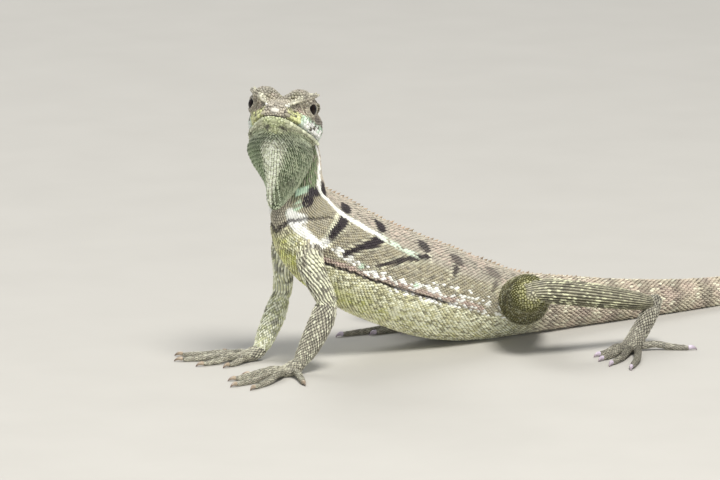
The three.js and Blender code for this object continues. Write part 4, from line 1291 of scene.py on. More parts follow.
def plateRecords():
    kept = []

    def add(h, along, long, wide, high):
        start = fromHead(np.array([h], float))
        spot, normal = onSkin(start)
        if np.linalg.norm(spot - start) > plateReach:
            return
        lie = unit(along @ headBasis)
        lie = unit(lie - normal[0] * (lie @ normal[0]))
        kept.append((spot[0], normal[0], lie, wide, long, high))

    for side in (1, -1):
        lipPlates(add, side)
        browPlates(add, side)
        ringPlates(add, side, plateRows["nostrilRing"], nostril)
        ringPlates(add, side, plateRows["earRing"], eardrum)
    for h, long, wide, high in plateRows["snout"]:
        add(h, np.array([0, 1.0, 0]), long, wide, high)
    pouchPlates(add, plateRows["pouchKeel"], math.pi)
    pouchPlates(add, plateRows["pouchHind"], 0)
    found = dict(zip(("spot", "normal", "lie", "wide", "long", "high"), map(np.array, zip(*kept))))
    return {**found, "place": placeOf(found["spot"]), "chance": rng.random(len(kept))}


plates = plateRecords()
print("plates", len(plates["wide"]))


def clearOfPlates(found):  # no row scale under a plate
    tree = treeOf(plates["spot"])
    kept = np.ones(len(found["wide"]), bool)
    for i, spot in enumerate(found["spot"]):
        near, j, gap = tree.find(spot)
        kept[i] = gap > .8 * plates["wide"][j] + .5 * found["wide"][i]
    return only(found, kept)


scales = clearOfPlates(scales)


# Small many-sided scales: all of the head, and wherever the rows leave the skin bare

# Spacing on the body and the head, wider on crown and snout and closer by the lids; then how near two may
# come, the seam between them, the dome's height for its width and its limits
granuleSizes = {"body": .86, "head": .84, "crown": .16, "snout": .18, "lids": .36, "nearest": .72,
                "seam": .05, "dome": .36, "lowest": .12, "highest": .42}
# Half widths of the places that stay bare; past the lids' rim in degrees; where the mouth line ends
bareRoom = {"eye": 3.1, "lidSide": 3.5, "lidOut": 1.2, "lidRim": 9, "lidReach": 4.6, "nostril": .75,
            "eardrum": 2.1, "mouth": .32, "mouthEnd": -12.5}


def granuleSpacing(p, place):
    h, sizes = toHead(p), granuleSizes
    x, y, z = h[:, 0], np.abs(h[:, 1]), h[:, 2]
    crown = smooth(0, 2, z)
    away = np.column_stack([x - eyeBall["x"], (y - lid["y"]) * .7, z - eyeBall["z"]])
    byLids = 1 - smooth(3.0, 5.0, np.linalg.norm(away, axis=1))
    spacing = sizes["head"] + sizes["crown"] * crown - sizes["lids"] * byLids
    spacing = spacing + sizes["snout"] * smooth(9, 12, x) * crown
    return np.where(place[:, 2] == formIndex["head"], spacing, sizes["body"])


def keepClear(p):  # places that stay bare: the eyes, the nostrils, the eardrums and the mouth line
    h, room = toHead(p), bareRoom
    folded = np.column_stack([h[:, 0], np.abs(h[:, 1]), h[:, 2]])
    away = folded - placeIn(eyeBall)
    eye = np.linalg.norm(away, axis=1)
    turn = math.radians(lidShape["turn"])
    outward = away[:, 1] * math.cos(turn) + away[:, 0] * math.sin(turn)
    bySide = (outward < room["lidOut"]) & (eye < room["lidSide"]) & (folded[:, 1] > eyeBall["y"] - 1)
    angle, almond, reach = lidAngles(h, np.where(h[:, 1] > 0, 1, -1))
    inLids = (angle < almond + room["lidRim"]) & (reach < room["lidReach"])
    hole = np.linalg.norm(folded - placeIn(nostril), axis=1)
    drum = np.linalg.norm((folded - placeIn(eardrum)) * [1, .5, 1], axis=1)
    nearHead = np.abs(h[:, 0] + 3) / 21 + (np.abs(h[:, 1]) > 14) + (np.abs(h[:, 2]) > 14) < 1
    mouth = (np.abs(mouthRise(h)) < room["mouth"]) & (h[:, 0] > room["mouthEnd"]) & nearHead
    holes = (hole < room["nostril"]) | (drum < room["eardrum"])
    return (eye < room["eye"]) | bySide | inLids | holes | mouth


taken = np.vstack([scales["spot"], plates["spot"]])
takenReach = np.concatenate([np.minimum(found["wide"], found["long"]) for found in (scales, plates)])
takenTree = treeOf(taken)
nextCells = [(a, b, c) for a in (-1, 0, 1) for b in (-1, 0, 1) for c in (-1, 0, 1)]


def scatterGranules():
    spacing = granuleSpacing(points, skinPlace)
    order = rng.permutation(np.nonzero(~keepClear(points))[0])
    cell, grid, chosen = 1.05, {}, []

    def crowded(p, room, key):
        for a, b, c in nextCells:
            for q, other in grid.get((key[0] + a, key[1] + b, key[2] + c), ()):
                apart = (p[0] - q[0])**2 + (p[1] - q[1])**2 + (p[2] - q[2])**2
                if apart < ((room + other) / 2)**2 * granuleSizes["nearest"]:
                    return True
        return False

    for i in order:
        p, room = points[i], spacing[i]
        spot, j, gap = takenTree.find(p)
        if gap < .5 * room + .8 * takenReach[j]:
            continue
        key = (int(p[0] // cell), int(p[1] // cell), int(p[2] // cell))
        if not crowded(p, room, key):
            grid.setdefault(key, []).append((p, room))
            chosen.append(i)
    return np.array(chosen), spacing


def refinePlace(p, place, rounds=4):  # a closer t and turn than the nearest sample's
    place = place.copy()
    for name in formNames:
        here = np.nonzero(place[:, 2] == formIndex[name])[0]
        if not len(here):
            continue
        rings, around = formGrid(forms[name], 1.0)
        stepT, stepTurn = .5 / rings, math.pi / around
        t, turn, target = place[here, 0], place[here, 1], p[here]
        for _ in range(rounds):
            best, bestT, bestTurn = np.full(len(here), 1e9), t, turn
            for a in (-1, 0, 1):
                for b in (-1, 0, 1):
                    tryT, tryTurn = np.clip(t + a * stepT, 0, 1), turn + b * stepTurn
                    gap = np.linalg.norm(surface(forms[name], tryT, tryTurn) - target, axis=1)
                    better = gap < best
                    best = np.where(better, gap, best)
                    bestT, bestTurn = np.where(better, tryT, bestT), np.where(better, tryTurn, bestTurn)
            t, turn = bestT, bestTurn
            stepT, stepTurn = stepT / 2, stepTurn / 2
        place[here, 0], place[here, 1] = t, turn
    return place


chosen, spacing = scatterGranules()
granules = {"spot": points[chosen], "normal": skinNormals[chosen], "spacing": spacing[chosen],
            "place": refinePlace(points[chosen], skinPlace[chosen]), "chance": rng.random(len(chosen))}
granuleForm = granules["place"][:, 2]
backward = np.tile([0, 0, -1.0], (len(chosen), 1))  # down the limbs
for name, direction in (("head", -headBasis[0]), ("pouch", -headBasis[2]), ("spine", [.8, 0, -.6])):
    backward[granuleForm == formIndex[name]] = direction
granules["lie"] = laidAlong(backward, granules["normal"])
print("granules", len(chosen))


# Meshes of scales. Along its lie, across and up, in half lengths, half widths and heights; and the rise of
# each corner, which sets the painted shade in the seams between scales and the painted highlight on their
# keels
keeledCorners = np.array([(-1, 0, .02), (-.38, -.92, .15), (.45, -.8, .5), (1.15, 0, .95), (.45, .8, .5),
                          (-.38, .92, .15), (-.5, 0, .8), (.72, 0, 1.3), (0, 0, -1.0)])
# each corner's light level: low ones get painted shade in the seams, high ones a painted highlight on the
# keel
keeledPaintedLight = np.array([.12, .2, .4, .62, .4, .2, .85, 1.0, 0])
keeledFaces = np.array([(0, 1, 6), (1, 2, 7), (1, 7, 6), (2, 3, 7), (3, 4, 7), (4, 6, 7), (4, 5, 6),
                        (5, 0, 6)] + [((k + 1) % 6, k, 8) for k in range(6)])
keelTilt = .04  # lift of a whole scale off the skin, in millimetres
groundGap = .02  # no scale reaches lower than this above the ground
heightSpread = .15


def roundedCorners(sides=10, square=3.0):  # a plate: rim, shoulder, crown and a sunk root
    corners, rise = [], []
    # the third number of each ring is its light level for the painted shade and highlight
    for reach, height, light in ((1.0, -.1, .1), (.93, .55, .45), (.6, .95, .85)):
        for k in range(sides):
            angle = 2 * math.pi * (k + .5) / sides
            c, s = math.cos(angle), math.sin(angle)
            corners.append((np.sign(c) * abs(c)**(2 / square) * reach,
                            np.sign(s) * abs(s)**(2 / square) * reach, height))
            rise.append(light)
    corners += [(0, 0, 1.05), (0, 0, -1.0)]
    rise += [1.0, 0]
    faces = []
    top, bottom = len(corners) - 2, len(corners) - 1
    for k in range(sides):
        n = (k + 1) % sides
        for ring in (0, 1):
            a, b = ring * sides, (ring + 1) * sides
            faces += [(a + k, a + n, b + n), (a + k, b + n, b + k)]
        faces += [(2 * sides + k, 2 * sides + n, top), (n, k, bottom)]
    return np.array(corners), np.array(rise), np.array(faces)


def stampScales(found, corners, rise, faces, twist=.05):
    count, per = len(found["wide"]), len(corners)
    lie, normal = found["lie"], found["normal"]
    side = np.cross(normal, lie)
    turned = rng.standard_normal(count)[:, None] * twist
    lie, side = unit(lie + side * turned), unit(side - lie * turned)
    high = found["high"] * (1 + heightSpread * rng.standard_normal(count).clip(-2, 2))
    p = (found["spot"][:, None] + (normal * keelTilt)[:, None]
         + lie[:, None] * (corners[None, :, 0:1] * found["long"][:, None, None])
         + side[:, None] * (corners[None, :, 1:2] * found["wide"][:, None, None])
         + normal[:, None] * (corners[None, :, 2:3] * high[:, None, None]))
    p[:, :, 2] = np.maximum(p[:, :, 2], groundGap)
    return {"points": p.reshape(-1, 3), "rise": np.tile(rise, count),
            "owner": np.repeat(np.arange(count), per), "flat": np.tile(corners[:, :2], (count, 1)),
            "faces": (faces[None] + (np.arange(count) * per)[:, None, None]).reshape(-1, 3)}


def clipCell(polygon, nx, ny, limit):  # the part of a polygon where nx*x + ny*y < limit
    kept = []
    for i in range(len(polygon)):
        ax, ay = polygon[i - 1]
        bx, by = polygon[i]
        da, db = nx * ax + ny * ay - limit, nx * bx + ny * by - limit
        if (da < 0) != (db < 0):
            w = da / (da - db)
            kept.append((ax + (bx - ax) * w, ay + (by - ay) * w))
        if db < 0:
            kept.append((bx, by))
    return kept


def granuleCells(found):  # each small scale fills the room up to its neighbours
    spots = np.vstack([found["spot"], taken])
    reach = np.concatenate([found["spacing"] / 2, takenReach])
    tree = treeOf(spots)
    allPoints, rise, owner, flat, faces = [], [], [], [], []
    start = 0
    for i, (spot, normal, lie) in enumerate(zip(found["spot"], found["normal"], found["lie"])):
        side = np.cross(normal, lie)
        half = found["spacing"][i] * .8
        cell = [(half * math.cos(a), half * math.sin(a)) for a in (.4, 1.45, 2.5, 3.55, 4.6, 5.65)]
        for near, j, gap in tree.find_n(spot, 11)[1:]:
            step = spots[j] - spot
            x, y = step @ lie, step @ side
            length = math.hypot(x, y)
            if length < 1e-3:
                continue
            limit = length * reach[i] / (reach[i] + reach[j]) - granuleSizes["seam"]
            cell = clipCell(cell, x / length, y / length, max(limit, .08))
        if len(cell) < 3:
            continue
        rim = np.array(cell)
        middle = rim.mean(0)
        n = len(rim)
        high = granuleSizes["dome"] * found["spacing"][i] * (1 + .2 * rng.standard_normal())
        high = min(max(high, granuleSizes["lowest"]), granuleSizes["highest"])
        corners = [(*c, -.06) for c in rim]
        corners += [(*(middle + (c - middle) * .86), high * .6) for c in rim]
        corners += [(middle[0] + half * .12, middle[1], high), (middle[0], middle[1], -.3)]
        corners = np.array(corners)
        world = spot + corners[:, :1] * lie + corners[:, 1:2] * side + corners[:, 2:] * normal
        allPoints.append(world)
        # light levels: painted shade at the rim, painted highlight at the top
        rise += [.1] * n + [.62] * n + [1.0, 0]
        owner += [i] * (2 * n + 2)
        flat.append(corners[:, :2] / half)
        for k in range(n):
            m = (k + 1) % n
            inner, top = start + n, start + 2 * n
            faces += [(start + k, start + m, inner + m), (start + k, inner + m, inner + k),
                      (inner + k, inner + m, top), (start + m, start + k, top + 1)]
        start += 2 * n + 2
    p = np.vstack(allPoints)
    p[:, 2] = np.maximum(p[:, 2], groundGap)
    return {"points": p, "rise": np.array(rise), "owner": np.array(owner), "flat": np.vstack(flat),
            "faces": np.array(faces)}


plateCorners, platePaintedLight, plateFaces = roundedCorners()
built = [(scales, stampScales(scales, keeledCorners, keeledPaintedLight, keeledFaces), False),
         (plates, stampScales(plates, plateCorners, platePaintedLight, plateFaces, 0), True),
         (granules, granuleCells(granules), True)]
print("scale meshes", [len(b[1]["faces"]) for b in built])


# Low crest: leaning blades in line from the nape to the root of the tail
crest = {"from": 1.35, "to": 10.6, "pitch": 1.75, "high": 1.3, "wide": .42, "lean": .62}
bladeCorners = np.array([(-1, 0, -.3), (-.4, .9, -.25), (.6, .9, -.25), (1, 0, -.3), (.6, -.9, -.25),
                         (-.4, -.9, -.25), (-.45, 0, .42), (.1, .42, .45), (.72, 0, .5), (.1, -.42, .45),
                         (.95, 0, 1.0), (0, 0, -.6)])
# the blades' light levels for the painted shade and highlight
bladePaintedLight = np.array([.1, .1, .1, .1, .1, .1, .75, .5, .6, .5, 1.0, 0])
bladeFaces = np.array([(0, 1, 6), (1, 7, 6), (1, 2, 7), (2, 8, 7), (2, 3, 8), (3, 4, 8), (4, 9, 8),
                       (4, 5, 9), (5, 6, 9), (5, 0, 6), (6, 7, 10), (7, 8, 10), (8, 9, 10), (9, 6, 10)]
                      + [((k + 1) % 6, k, 11) for k in range(6)])[:, ::-1]


def crestRecords():
    dense = np.linspace(crest["from"] / spineSpans, crest["to"] / spineSpans, 2000)
    arc = arcLengths(surface(spineForm, dense, 0 * dense))
    stops = np.arange(.4, arc[-1], crest["pitch"])
    t, share = np.interp(stops, arc, dense), stops / arc[-1]
    spots, normals = onSkin(surface(spineForm, t, 0 * t))
    ahead = surface(spineForm, t + 1e-3, 0 * t) - surface(spineForm, t - 1e-3, 0 * t)
    size = (1 - .45 * smooth(.55, 1, share)) * (.75 + .25 * smooth(0, .08, share))
    size = size * (1 + .1 * rng.standard_normal(len(t)))
    return {"spot": spots, "normal": normals, "lie": laidAlong(ahead, normals), "wide": crest["wide"] * size,
            "long": crest["pitch"] * crest["lean"] * size, "high": crest["high"] * size,
            "place": np.column_stack([t, 0 * t, 0 * t + formIndex["spine"]]), "chance": rng.random(len(t))}


blades = crestRecords()
built.append((blades, stampScales(blades, bladeCorners, bladePaintedLight, bladeFaces, .02), False))
print("crest blades", len(blades["wide"]))


# Each scale goes to the piece of its place, and all carry the markings of the skin

fleshNodes = (["head", "lower_jaw", "throat_pouch", "neck", "torso"] + [f"tail_{i}" for i in range(1, 6)]
              + [f"{part}_{side}" for side in ("left", "right")
                 for part in ("upper_arm", "forearm", "hand", "thigh", "shin", "foot")])


def pieceOf(place):
    section, turn, form = place[:, 0] * spineSpans, place[:, 1], place[:, 2].astype(int)
    side = np.where(turn > 0, "Left", "Right")
    sided = np.char.add(np.where(section < 5.6, "scalesChest", "scalesBelly"), side)
    tail = np.where(section > 12, "scalesTailTip", "scalesTailRoot")
    onSpine = np.where(section < 3.05, "scalesNeck", np.where(section > 9.2, tail, sided))
    names = np.empty(len(place), object)
    for name in formNames:
        here = form == formIndex[name]
        if name == "spine":
            names[here] = onSpine[here]
        elif name in ("head", "pouch"):
            names[here] = "scalesHead" if name == "head" else "scalesThroat"
        else:
            side, part = name.split("_")[:2]
            names[here] = "scales" + side.capitalize() + part.capitalize()
    return names


bakePatch = .0015  # half of a scale's patch, as a share of the map


def bakePlaces(place, flat, owner):  # each scale's patch, where its root lies on the unrolled forms
    u, v = np.zeros(len(place)), np.zeros(len(place))
    present = np.unique(place[:, 2])
    for band, form in enumerate(present):
        here = place[:, 2] == form
        t, turn = place[here, 0], (place[here, 1] + math.pi) % (2 * math.pi)
        u[here] = .02 + .96 * (t - t.min()) / max(t.max() - t.min(), 1e-6)
        around = (turn - turn.min()) / max(turn.max() - turn.min(), 1e-6)
        v[here] = (band + .04 + .92 * around) / len(present)
    return np.column_stack([u, v])[owner] + flat * bakePatch


def triMesh(name, points, faces):
    mesh = bpy.data.meshes.new(name)
    mesh.vertices.add(len(points))
    mesh.vertices.foreach_set("co", toFrame(points).ravel())
    mesh.loops.add(faces.size)
    mesh.loops.foreach_set("vertex_index", faces.ravel())
    mesh.polygons.add(len(faces))
    mesh.polygons.foreach_set("loop_start", np.arange(0, faces.size, faces.shape[1]))
    mesh.update(calc_edges=True)
    piece = bpy.data.objects.new(name, mesh)
    scene.collection.objects.link(piece)
    return piece


def setAttribute(mesh, name, values):
    attribute = mesh.attributes.new(name, "FLOAT", "POINT")
    attribute.data.foreach_set("value", np.asarray(values, np.float32))


def paintMarks(mesh, marks, rise, chance):
    for name in layers:
        setAttribute(mesh, name, marks[name])
    # rise carries each corner's light level for the painted shade in seams and the painted highlight on
    # keels
    setAttribute(mesh, "rise", rise)
    setAttribute(mesh, "chance", chance)


def shadeSmooth(mesh):
    mesh.polygons.foreach_set("use_smooth", np.full(len(mesh.polygons), True))


coatPieces = []


def coatPart(found, made, smoothShade, chosen):  # the chosen scales of one kind, numbered from nought
    mine = chosen[made["owner"]]
    faces = (np.cumsum(mine) - 1)[made["faces"][mine[made["faces"][:, 0]]]]
    part = {key: made[key][mine] for key in ("points", "rise", "flat")}
    part |= {layer: found["marks"][layer][made["owner"][mine]] for layer in layers}
    return {**part, "chance": found["chance"][made["owner"][mine]], "place": found["place"][chosen],
            "owner": (np.cumsum(chosen) - 1)[made["owner"][mine]], "faces": faces,
            "shade": np.full(len(faces), smoothShade)}


def makeCoat():
    gathered = {}
    for found, made, smoothShade in built:
        found["marks"] = colourMarks(found["spot"], found["place"], found["chance"])
        kind = pieceOf(found["place"])
        if found is blades:
            kind[:] = "scalesCrest"
        for name in np.unique(kind.astype(str)):
            gathered.setdefault(name, []).append(coatPart(found, made, smoothShade, kind == name))
    for name, parts in gathered.items():
        pointCount, scaleCount = 0, 0
        for part in parts:  # the numbers run on from part to part
            part["faces"] += pointCount
            part["owner"] += scaleCount
            pointCount += len(part["points"])
            scaleCount += len(part["place"])
        coat = joined(parts)
        piece = triMesh(name, coat["points"], coat["faces"])
        mesh = piece.data
        mesh.polygons.foreach_set("use_smooth", coat["shade"])
        paintMarks(mesh, coat, coat["rise"], coat["chance"])
        corner = bakePlaces(coat["place"], coat["flat"], coat["owner"])[coat["faces"].ravel()]
        layer = mesh.uv_layers.new(name="OFBake")
        layer.data.foreach_set("uv", corner.astype(np.float32).ravel())
        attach(piece, "root")
        coatPieces.append(piece)
        print(name, scaleCount, "scales", len(mesh.polygons), "faces")


makeCoat()


# Materials

palette = {"back": "#ada497", "flank": "#9c937b", "belly": "#dedaae", "bright": "#d0d45e",
           "throat": "#6c7e58", "tan": "#b6ae9b", "limbGrey": "#aaa593", "olive": "#8c8a50",
           "tailBrown": "#b9ae98", "pink": "#bea59b", "yellow": "#dde0a0", "cream": "#e6e6cc",
           "mint": "#d0edd3", "white": "#fbfbf6",
           "dark": "#2b222a", "crestRust": "#a5876a"}
patternSizes = {"mottle": 2.2, "grain": .25, "irisFleck": .3, "hornLine": .4, "boardFleck": 100 / 3}
perMetre = {name: 1 / (size * millimetre) for name, size in patternSizes.items()}
mixing = {"data_type": "RGBA"}
multiplying = {"data_type": "RGBA", "blend_type": "MULTIPLY"}
plain = hexColour("#ffffff")


def newMaterial(name):
    material = bpy.data.materials.new(name)
    material.use_nodes = True
    tree = material.node_tree
    tree.nodes.clear()
    return material, tree


def finishTree(tree, colour, rough, height, strength, distance, extra=None):
    bumped = addNode(tree, "ShaderNodeBump", inputs={"Strength": strength, "Distance": distance,
                                                     "Height": height})
    shader = addNode(tree, "ShaderNodeBsdfPrincipled", inputs={
        "Base Color": colour, "Roughness": rough, "Normal": bumped.outputs[0], **(extra or {})})
    addNode(tree, "ShaderNodeOutputMaterial", inputs={0: shader.outputs[0]})


def hideMaterial(name, seamShadeAndDarkSkin, keelHighlight, crestTint=0.0, keelHighlightColour="#e2dfc4"):
    # keratin scales over thin skin: dry, with a soft broken sheen; darker in the seams, as dark skin between
    # scales and painted shade, and paler on the keels, a painted highlight
    material, tree = newMaterial(name)
    colour = hexColour(palette["back"])
    marks = {key: addNode(tree, "ShaderNodeAttribute", {"attribute_name": key}).outputs["Fac"]
             for key in layers + ["rise", "chance"]}
    for key in layers:
        inputs = {0: marks[key], 6: colour, 7: hexColour(palette[key])}
        colour = addNode(tree, "ShaderNodeMix", mixing, inputs).outputs[2]
    if crestTint:
        inputs = {0: crestTint, 6: colour, 7: hexColour(palette["crestRust"])}
        colour = addNode(tree, "ShaderNodeMix", mixing, inputs).outputs[2]
    place = addNode(tree, "ShaderNodeTexCoord").outputs["Object"]
    mottle, grain = (addNode(tree, "ShaderNodeTexNoise", inputs={
        "Vector": place, "Scale": perMetre[name], "Detail": detail}).outputs[0]
        for name, detail in (("mottle", 3), ("grain", 2)))
    pale = addNode(tree, "ShaderNodeMath", {"operation": "MAXIMUM"}, {0: marks["white"], 1: marks["mint"]})
    pale = addNode(tree, "ShaderNodeMath", {"operation": "MULTIPLY"}, {0: pale.outputs[0], 1: .75})
    light = addNode(tree, "ShaderNodeMapRange", inputs={0: marks["chance"], 3: .72, 4: 1.28})
    patchy = addNode(tree, "ShaderNodeMapRange", inputs={0: mottle, 1: .3, 2: .7, 3: .86, 4: 1.12})
    # painted shade: low corners of a scale, in its seams, are darkened; on the bare hide the same factor
    # darkens the skin between the scales
    seam = addNode(tree, "ShaderNodeMapRange", inputs={0: marks["rise"], 1: 0, 2: .7, 3: seamShadeAndDarkSkin, 4: 1})
    for shade, evened in ((light, True), (patchy, False), (seam, True)):  # pale marks stay even
        shade = shade.outputs[0]
        if evened:
            inputs = {0: pale.outputs[0], 6: shade, 7: plain}
            shade = addNode(tree, "ShaderNodeMix", mixing, inputs).outputs[2]
        colour = addNode(tree, "ShaderNodeMix", multiplying, {0: 1.0, 6: colour, 7: shade}).outputs[2]
    # painted highlight on the keels, weaker over dark marks
    keel = addNode(tree, "ShaderNodeMapRange", inputs={0: marks["rise"], 1: .6, 2: 1, 3: 0, 4: keelHighlight})
    clear = addNode(tree, "ShaderNodeMapRange", inputs={0: marks["dark"], 1: 0, 2: 1, 3: 1, 4: .15})
    inputs = {0: keel.outputs[0], 1: clear.outputs[0]}
    keel = addNode(tree, "ShaderNodeMath", {"operation": "MULTIPLY"}, inputs)
    inputs = {0: keel.outputs[0], 6: colour, 7: hexColour(keelHighlightColour)}
    colour = addNode(tree, "ShaderNodeMix", mixing, inputs).outputs[2]
    rough = addNode(tree, "ShaderNodeMapRange", inputs={0: mottle, 1: .3, 2: .7, 3: .42, 4: .6})
    finishTree(tree, colour, rough.outputs[0], grain, .25, .00004, {"IOR": 1.46})
    return material


hide = hideMaterial("scaledHide", .26, 0)
scaleKeratin = hideMaterial("keeledScaleKeratin", .22, .5)
throatKeratin = hideMaterial("throatScaleKeratin", .3, .85, keelHighlightColour="#d6e1c5")
headKeratin = hideMaterial("headScaleKeratin", .62, .15)
crestKeratin = hideMaterial("crestKeratin", .6, .35, .6)
coatKeratin = {"scalesCrest": crestKeratin, "scalesThroat": throatKeratin, "scalesHead": headKeratin}
skin.data.materials.clear()
skin.data.materials.append(hide)
skinChance = .5 + .3 * wobble(points, .8, 21)
# the hide's level for the darkening between scales, dark skin and painted shade together; lighter on the
# head
skinRise = np.where(skinPlace[:, 2] == formIndex["head"], .36, .1)
skinMarks = colourMarks(points, skinPlace, np.clip(skinChance, 0, .85))
paintMarks(skin.data, skinMarks, skinRise, np.full(len(points), .45))
shadeSmooth(skin.data)
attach(skin, "root")
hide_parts(*fleshNodes)
for piece in coatPieces:
    piece.data.materials.append(coatKeratin.get(piece.name, scaleKeratin))
print("hide painted")


# Eyes: a glossy ball with a bulged cornea over a dark iris

eyeSizes = {"radius": 2.95, "iris": 38, "pupil": 22, "bulge": .14, "bulgeHalf": 26, "forward": 12, "up": .05,
            "rings": 40, "around": 48}
eyeColours = {"pupil": "#050404", "iris": "#0d0806", "copper": "#24160c", "rim": "#0c0807"}


def eyeMaterial():
    # wet cornea over a dark brown iris: mirror-like, with a faint copper ring round the pupil
    material, tree = newMaterial("wetCornea")
    angle = addNode(tree, "ShaderNodeAttribute", {"attribute_name": "fromPupil"}).outputs["Fac"]
    place = addNode(tree, "ShaderNodeTexCoord").outputs["Object"]
    flecks = addNode(tree, "ShaderNodeTexNoise", inputs={
        "Vector": place, "Scale": perMetre["irisFleck"], "Detail": 3}).outputs[0]
    eased = {"interpolation_type": "SMOOTHSTEP"}
    pupilEdge = {0: angle, 1: eyeSizes["pupil"] - 1.5, 2: eyeSizes["pupil"] + 1.5}
    irisEdge = {0: angle, 1: eyeSizes["iris"] - 6, 2: eyeSizes["iris"] + 2}
    iris = {0: flecks, 6: hexColour(eyeColours["iris"]), 7: hexColour(eyeColours["copper"])}
    iris = addNode(tree, "ShaderNodeMix", mixing, iris).outputs[2]
    colour = hexColour(eyeColours["pupil"])
    for edge, outer in ((pupilEdge, iris), (irisEdge, hexColour(eyeColours["rim"]))):
        share = addNode(tree, "ShaderNodeMapRange", eased, edge).outputs[0]
        colour = addNode(tree, "ShaderNodeMix", mixing, {0: share, 6: colour, 7: outer}).outputs[2]
    finishTree(tree, colour, .05, flecks, .03, .00002, {"IOR": 1.34})
    return material


def eyePiece(side, sideName, material):
    rings, around = eyeSizes["rings"], eyeSizes["around"]
    yaw = math.radians(eyeSizes["forward"])
    axis = np.array([math.sin(yaw), math.cos(yaw) * side, eyeSizes["up"]])
    axis = axis / np.linalg.norm(axis)
    u = unit(np.cross(axis, [0, 0, 1.0]))
    v = np.cross(u, axis)
    points, angles, faces = [], [], []
    for i in range(rings + 1):
        a = math.pi * i / rings
        for j in range(around):
            b = 2 * math.pi * j / around
            away = axis * math.cos(a) + (u * math.cos(b) + v * math.sin(b)) * math.sin(a)
            bulge = eyeSizes["bulge"] * math.exp(-(math.degrees(a) / eyeSizes["bulgeHalf"]) ** 2)
            points.append(away * (eyeSizes["radius"] + bulge))
            angles.append(math.degrees(a))
            if i < rings:
                n = (j + 1) % around
                faces.append((i * around + j, i * around + n, (i + 1) * around + n, (i + 1) * around + j))
    centre = placeIn(eyeBall, side)
    piece = makeMesh(f"eyeball{sideName.capitalize()}", fromHead(np.array(points) + centre), faces)
    built = bmesh.new()
    built.from_mesh(piece.data)
    bmesh.ops.remove_doubles(built, verts=built.verts, dist=1e-7)
    bmesh.ops.recalc_face_normals(built, faces=built.faces)
    built.to_mesh(piece.data)
    built.free()
    away = unit(toHead(meshArrays(piece.data)[0]) - centre)
    setAttribute(piece.data, "fromPupil", np.degrees(np.arccos(np.clip(away @ axis, -1, 1))))
    shadeSmooth(piece.data)
    piece.data.materials.append(material)
    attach(piece, "root")
    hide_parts(f"eye_{sideName}")


corneaMaterial = eyeMaterial()
for side, sideName in ((1, "left"), (-1, "right")):
    eyePiece(side, sideName, corneaMaterial)


# Claws: curved cones of horn

def clawMaterial(name, body, tip):
    # keratin claw: polished by use, pale at the root and darker and slightly clear toward the tip
    material, tree = newMaterial(name)
    along = addNode(tree, "ShaderNodeAttribute", {"attribute_name": "along"}).outputs["Fac"]
    place = addNode(tree, "ShaderNodeTexCoord").outputs["Object"]
    lines = addNode(tree, "ShaderNodeTexNoise", inputs={
        "Vector": place, "Scale": perMetre["hornLine"], "Detail": 3}).outputs[0]
    share = addNode(tree, "ShaderNodeMapRange", inputs={0: along, 1: .25, 2: 1}).outputs[0]
    inputs = {0: share, 6: hexColour(body), 7: hexColour(tip)}
    colour = addNode(tree, "ShaderNodeMix", mixing, inputs).outputs[2]
    soft = {"data_type": "RGBA", "blend_type": "SOFT_LIGHT"}
    colour = addNode(tree, "ShaderNodeMix", soft, {0: lines, 6: colour, 7: hexColour("#5b4a42")}).outputs[2]
    finishTree(tree, colour, .3, lines, .2, .00003, {"IOR": 1.54})
    return material


clawSizes = {"rings": 20, "around": 14, "groundGap": .05}
handClaw = clawMaterial("palmClawHorn", "#bdb09c", "#6f5f54")
footClaw = clawMaterial("footClawHorn", "#d8cfdc", "#8d7f86")
for limbName, parts in limbs.items():
    sideName, kind = limbName.split("_")
    nodeKind = "hand" if kind == "arm" else "foot"
    thick = handThick if kind == "arm" else footThick
    for number, digit in enumerate(parts["digits"], 1):
        form = tubeForm(clawRows(digit, thick))
        clawPoints, clawFaces = loftMesh(form, clawSizes["rings"], clawSizes["around"], grow=0.0)
        clawPoints[:, 2] = np.maximum(clawPoints[:, 2], clawSizes["groundGap"])
        name = f"claw{sideName.capitalize()}{nodeKind.capitalize()}{number}"
        piece = makeMesh(name, clawPoints, clawFaces)
        along = np.repeat(np.linspace(0, 1, clawSizes["rings"] + 1), clawSizes["around"])
        setAttribute(piece.data, "along", np.concatenate([along, [0, 1]]))
        shadeSmooth(piece.data)
        piece.data.materials.append(handClaw if nodeKind == "hand" else footClaw)
        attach(piece, "root")
        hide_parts(f"claw_{nodeKind}_{sideName}_{number}")
print("eyes and claws made")


# Pale floor, soft studio light and the camera at the photograph's angle

studio = {"floor": "#b4b1aa", "floorFleck": "#bcb9b2", "floorHalf": 3.0, "world": "#e9edf2",
          "worldStrength": .42}
# how far each lamp stands right of, behind and above the target, in metres; its size, power and colour
lamps = {"keyLight": ((.3, -.84, 1.54), .64, 36, (1, .98, .94)),
         "fillLight": ((-.1, -1.9, .24), 1.2, 14.4, (.95, .98, 1)),
         "backLight": ((-.7, 1.2, 1.5), 1.2, 17, (1, 1, 1))}
viewing = {"azimuth": -33, "elevation": 11, "distance": 3.0, "frameWidth": .2304, "sensor": 36,
           "right": 25.92, "deep": 10, "high": 38.3}


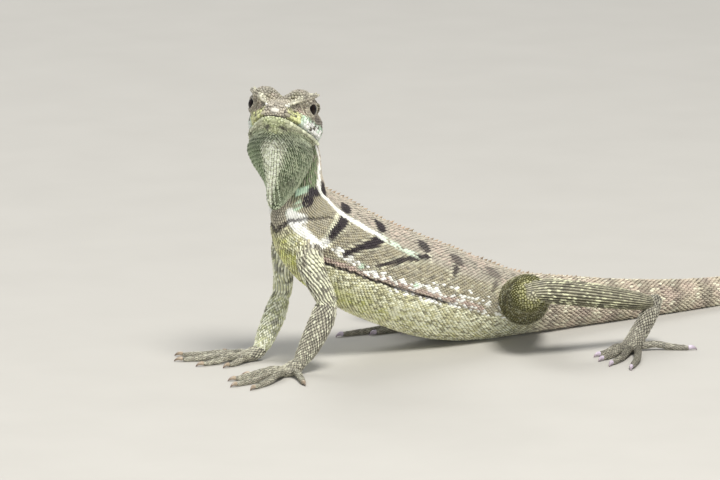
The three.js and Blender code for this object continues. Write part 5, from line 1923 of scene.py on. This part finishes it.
def makeFloor():
    # matt painted board: very faint mottle, no gloss
    material, tree = newMaterial("mattPaintedBoard")
    place = addNode(tree, "ShaderNodeTexCoord").outputs["Object"]
    noise = addNode(tree, "ShaderNodeTexNoise", inputs={
        "Vector": place, "Scale": perMetre["boardFleck"], "Detail": 4}).outputs[0]
    inputs = {0: noise, 6: hexColour(studio["floor"]), 7: hexColour(studio["floorFleck"])}
    colour = addNode(tree, "ShaderNodeMix", mixing, inputs).outputs[2]
    finishTree(tree, colour, .8, noise, .05, .0002)
    half = studio["floorHalf"]
    corners = np.array([(-half, -half, 0), (half, -half, 0), (half, half, 0), (-half, half, 0)])
    floor = makeMesh("floor", corners, [(0, 1, 2, 3)], inFrame=False)
    floor.data.materials.append(material)


def areaLight(name, spot, target, size, power, colour):
    lamp = bpy.data.lights.new(name, "AREA")
    lamp.shape, lamp.size, lamp.energy, lamp.color = "DISK", size, power, colour
    piece = bpy.data.objects.new(name, lamp)
    piece.location = spot
    piece.rotation_euler = (Vector(target) - Vector(spot)).to_track_quat("-Z", "Y").to_euler()
    scene.collection.objects.link(piece)


def makeStudio():
    makeFloor()
    world = bpy.data.worlds.new("studioAir")
    world.use_nodes = True
    background = world.node_tree.nodes["Background"]
    background.inputs[0].default_value = hexColour(studio["world"])
    background.inputs[1].default_value = studio["worldStrength"]
    scene.world = world
    azimuth, elevation = math.radians(viewing["azimuth"]), math.radians(viewing["elevation"])
    right = np.array([math.cos(azimuth), math.sin(azimuth), 0])
    deep = np.array([-math.sin(azimuth), math.cos(azimuth), 0])
    up = np.array([0, 0, 1.0])
    target = toFrame(right * viewing["right"] + deep * viewing["deep"] + up * viewing["high"])
    for name, (away, size, power, colour) in lamps.items():
        spot = target + right * away[0] + deep * away[1] + up * away[2]
        areaLight(name, tuple(spot), tuple(target), size, power, colour)
    facing = deep * math.cos(elevation) - up * math.sin(elevation)
    camera = bpy.data.cameras.new("viewCamera")
    camera.sensor_width = viewing["sensor"]
    camera.lens = viewing["sensor"] * viewing["distance"] / viewing["frameWidth"]
    camera.clip_start, camera.clip_end = .01, 20
    piece = bpy.data.objects.new("viewCamera", camera)
    piece.location = tuple(target - facing * viewing["distance"])
    piece.rotation_euler = Vector(facing).to_track_quat("-Z", "Y").to_euler()
    scene.collection.objects.link(piece)
    scene.camera = piece


makeStudio()
scene.view_settings.view_transform = "Standard"
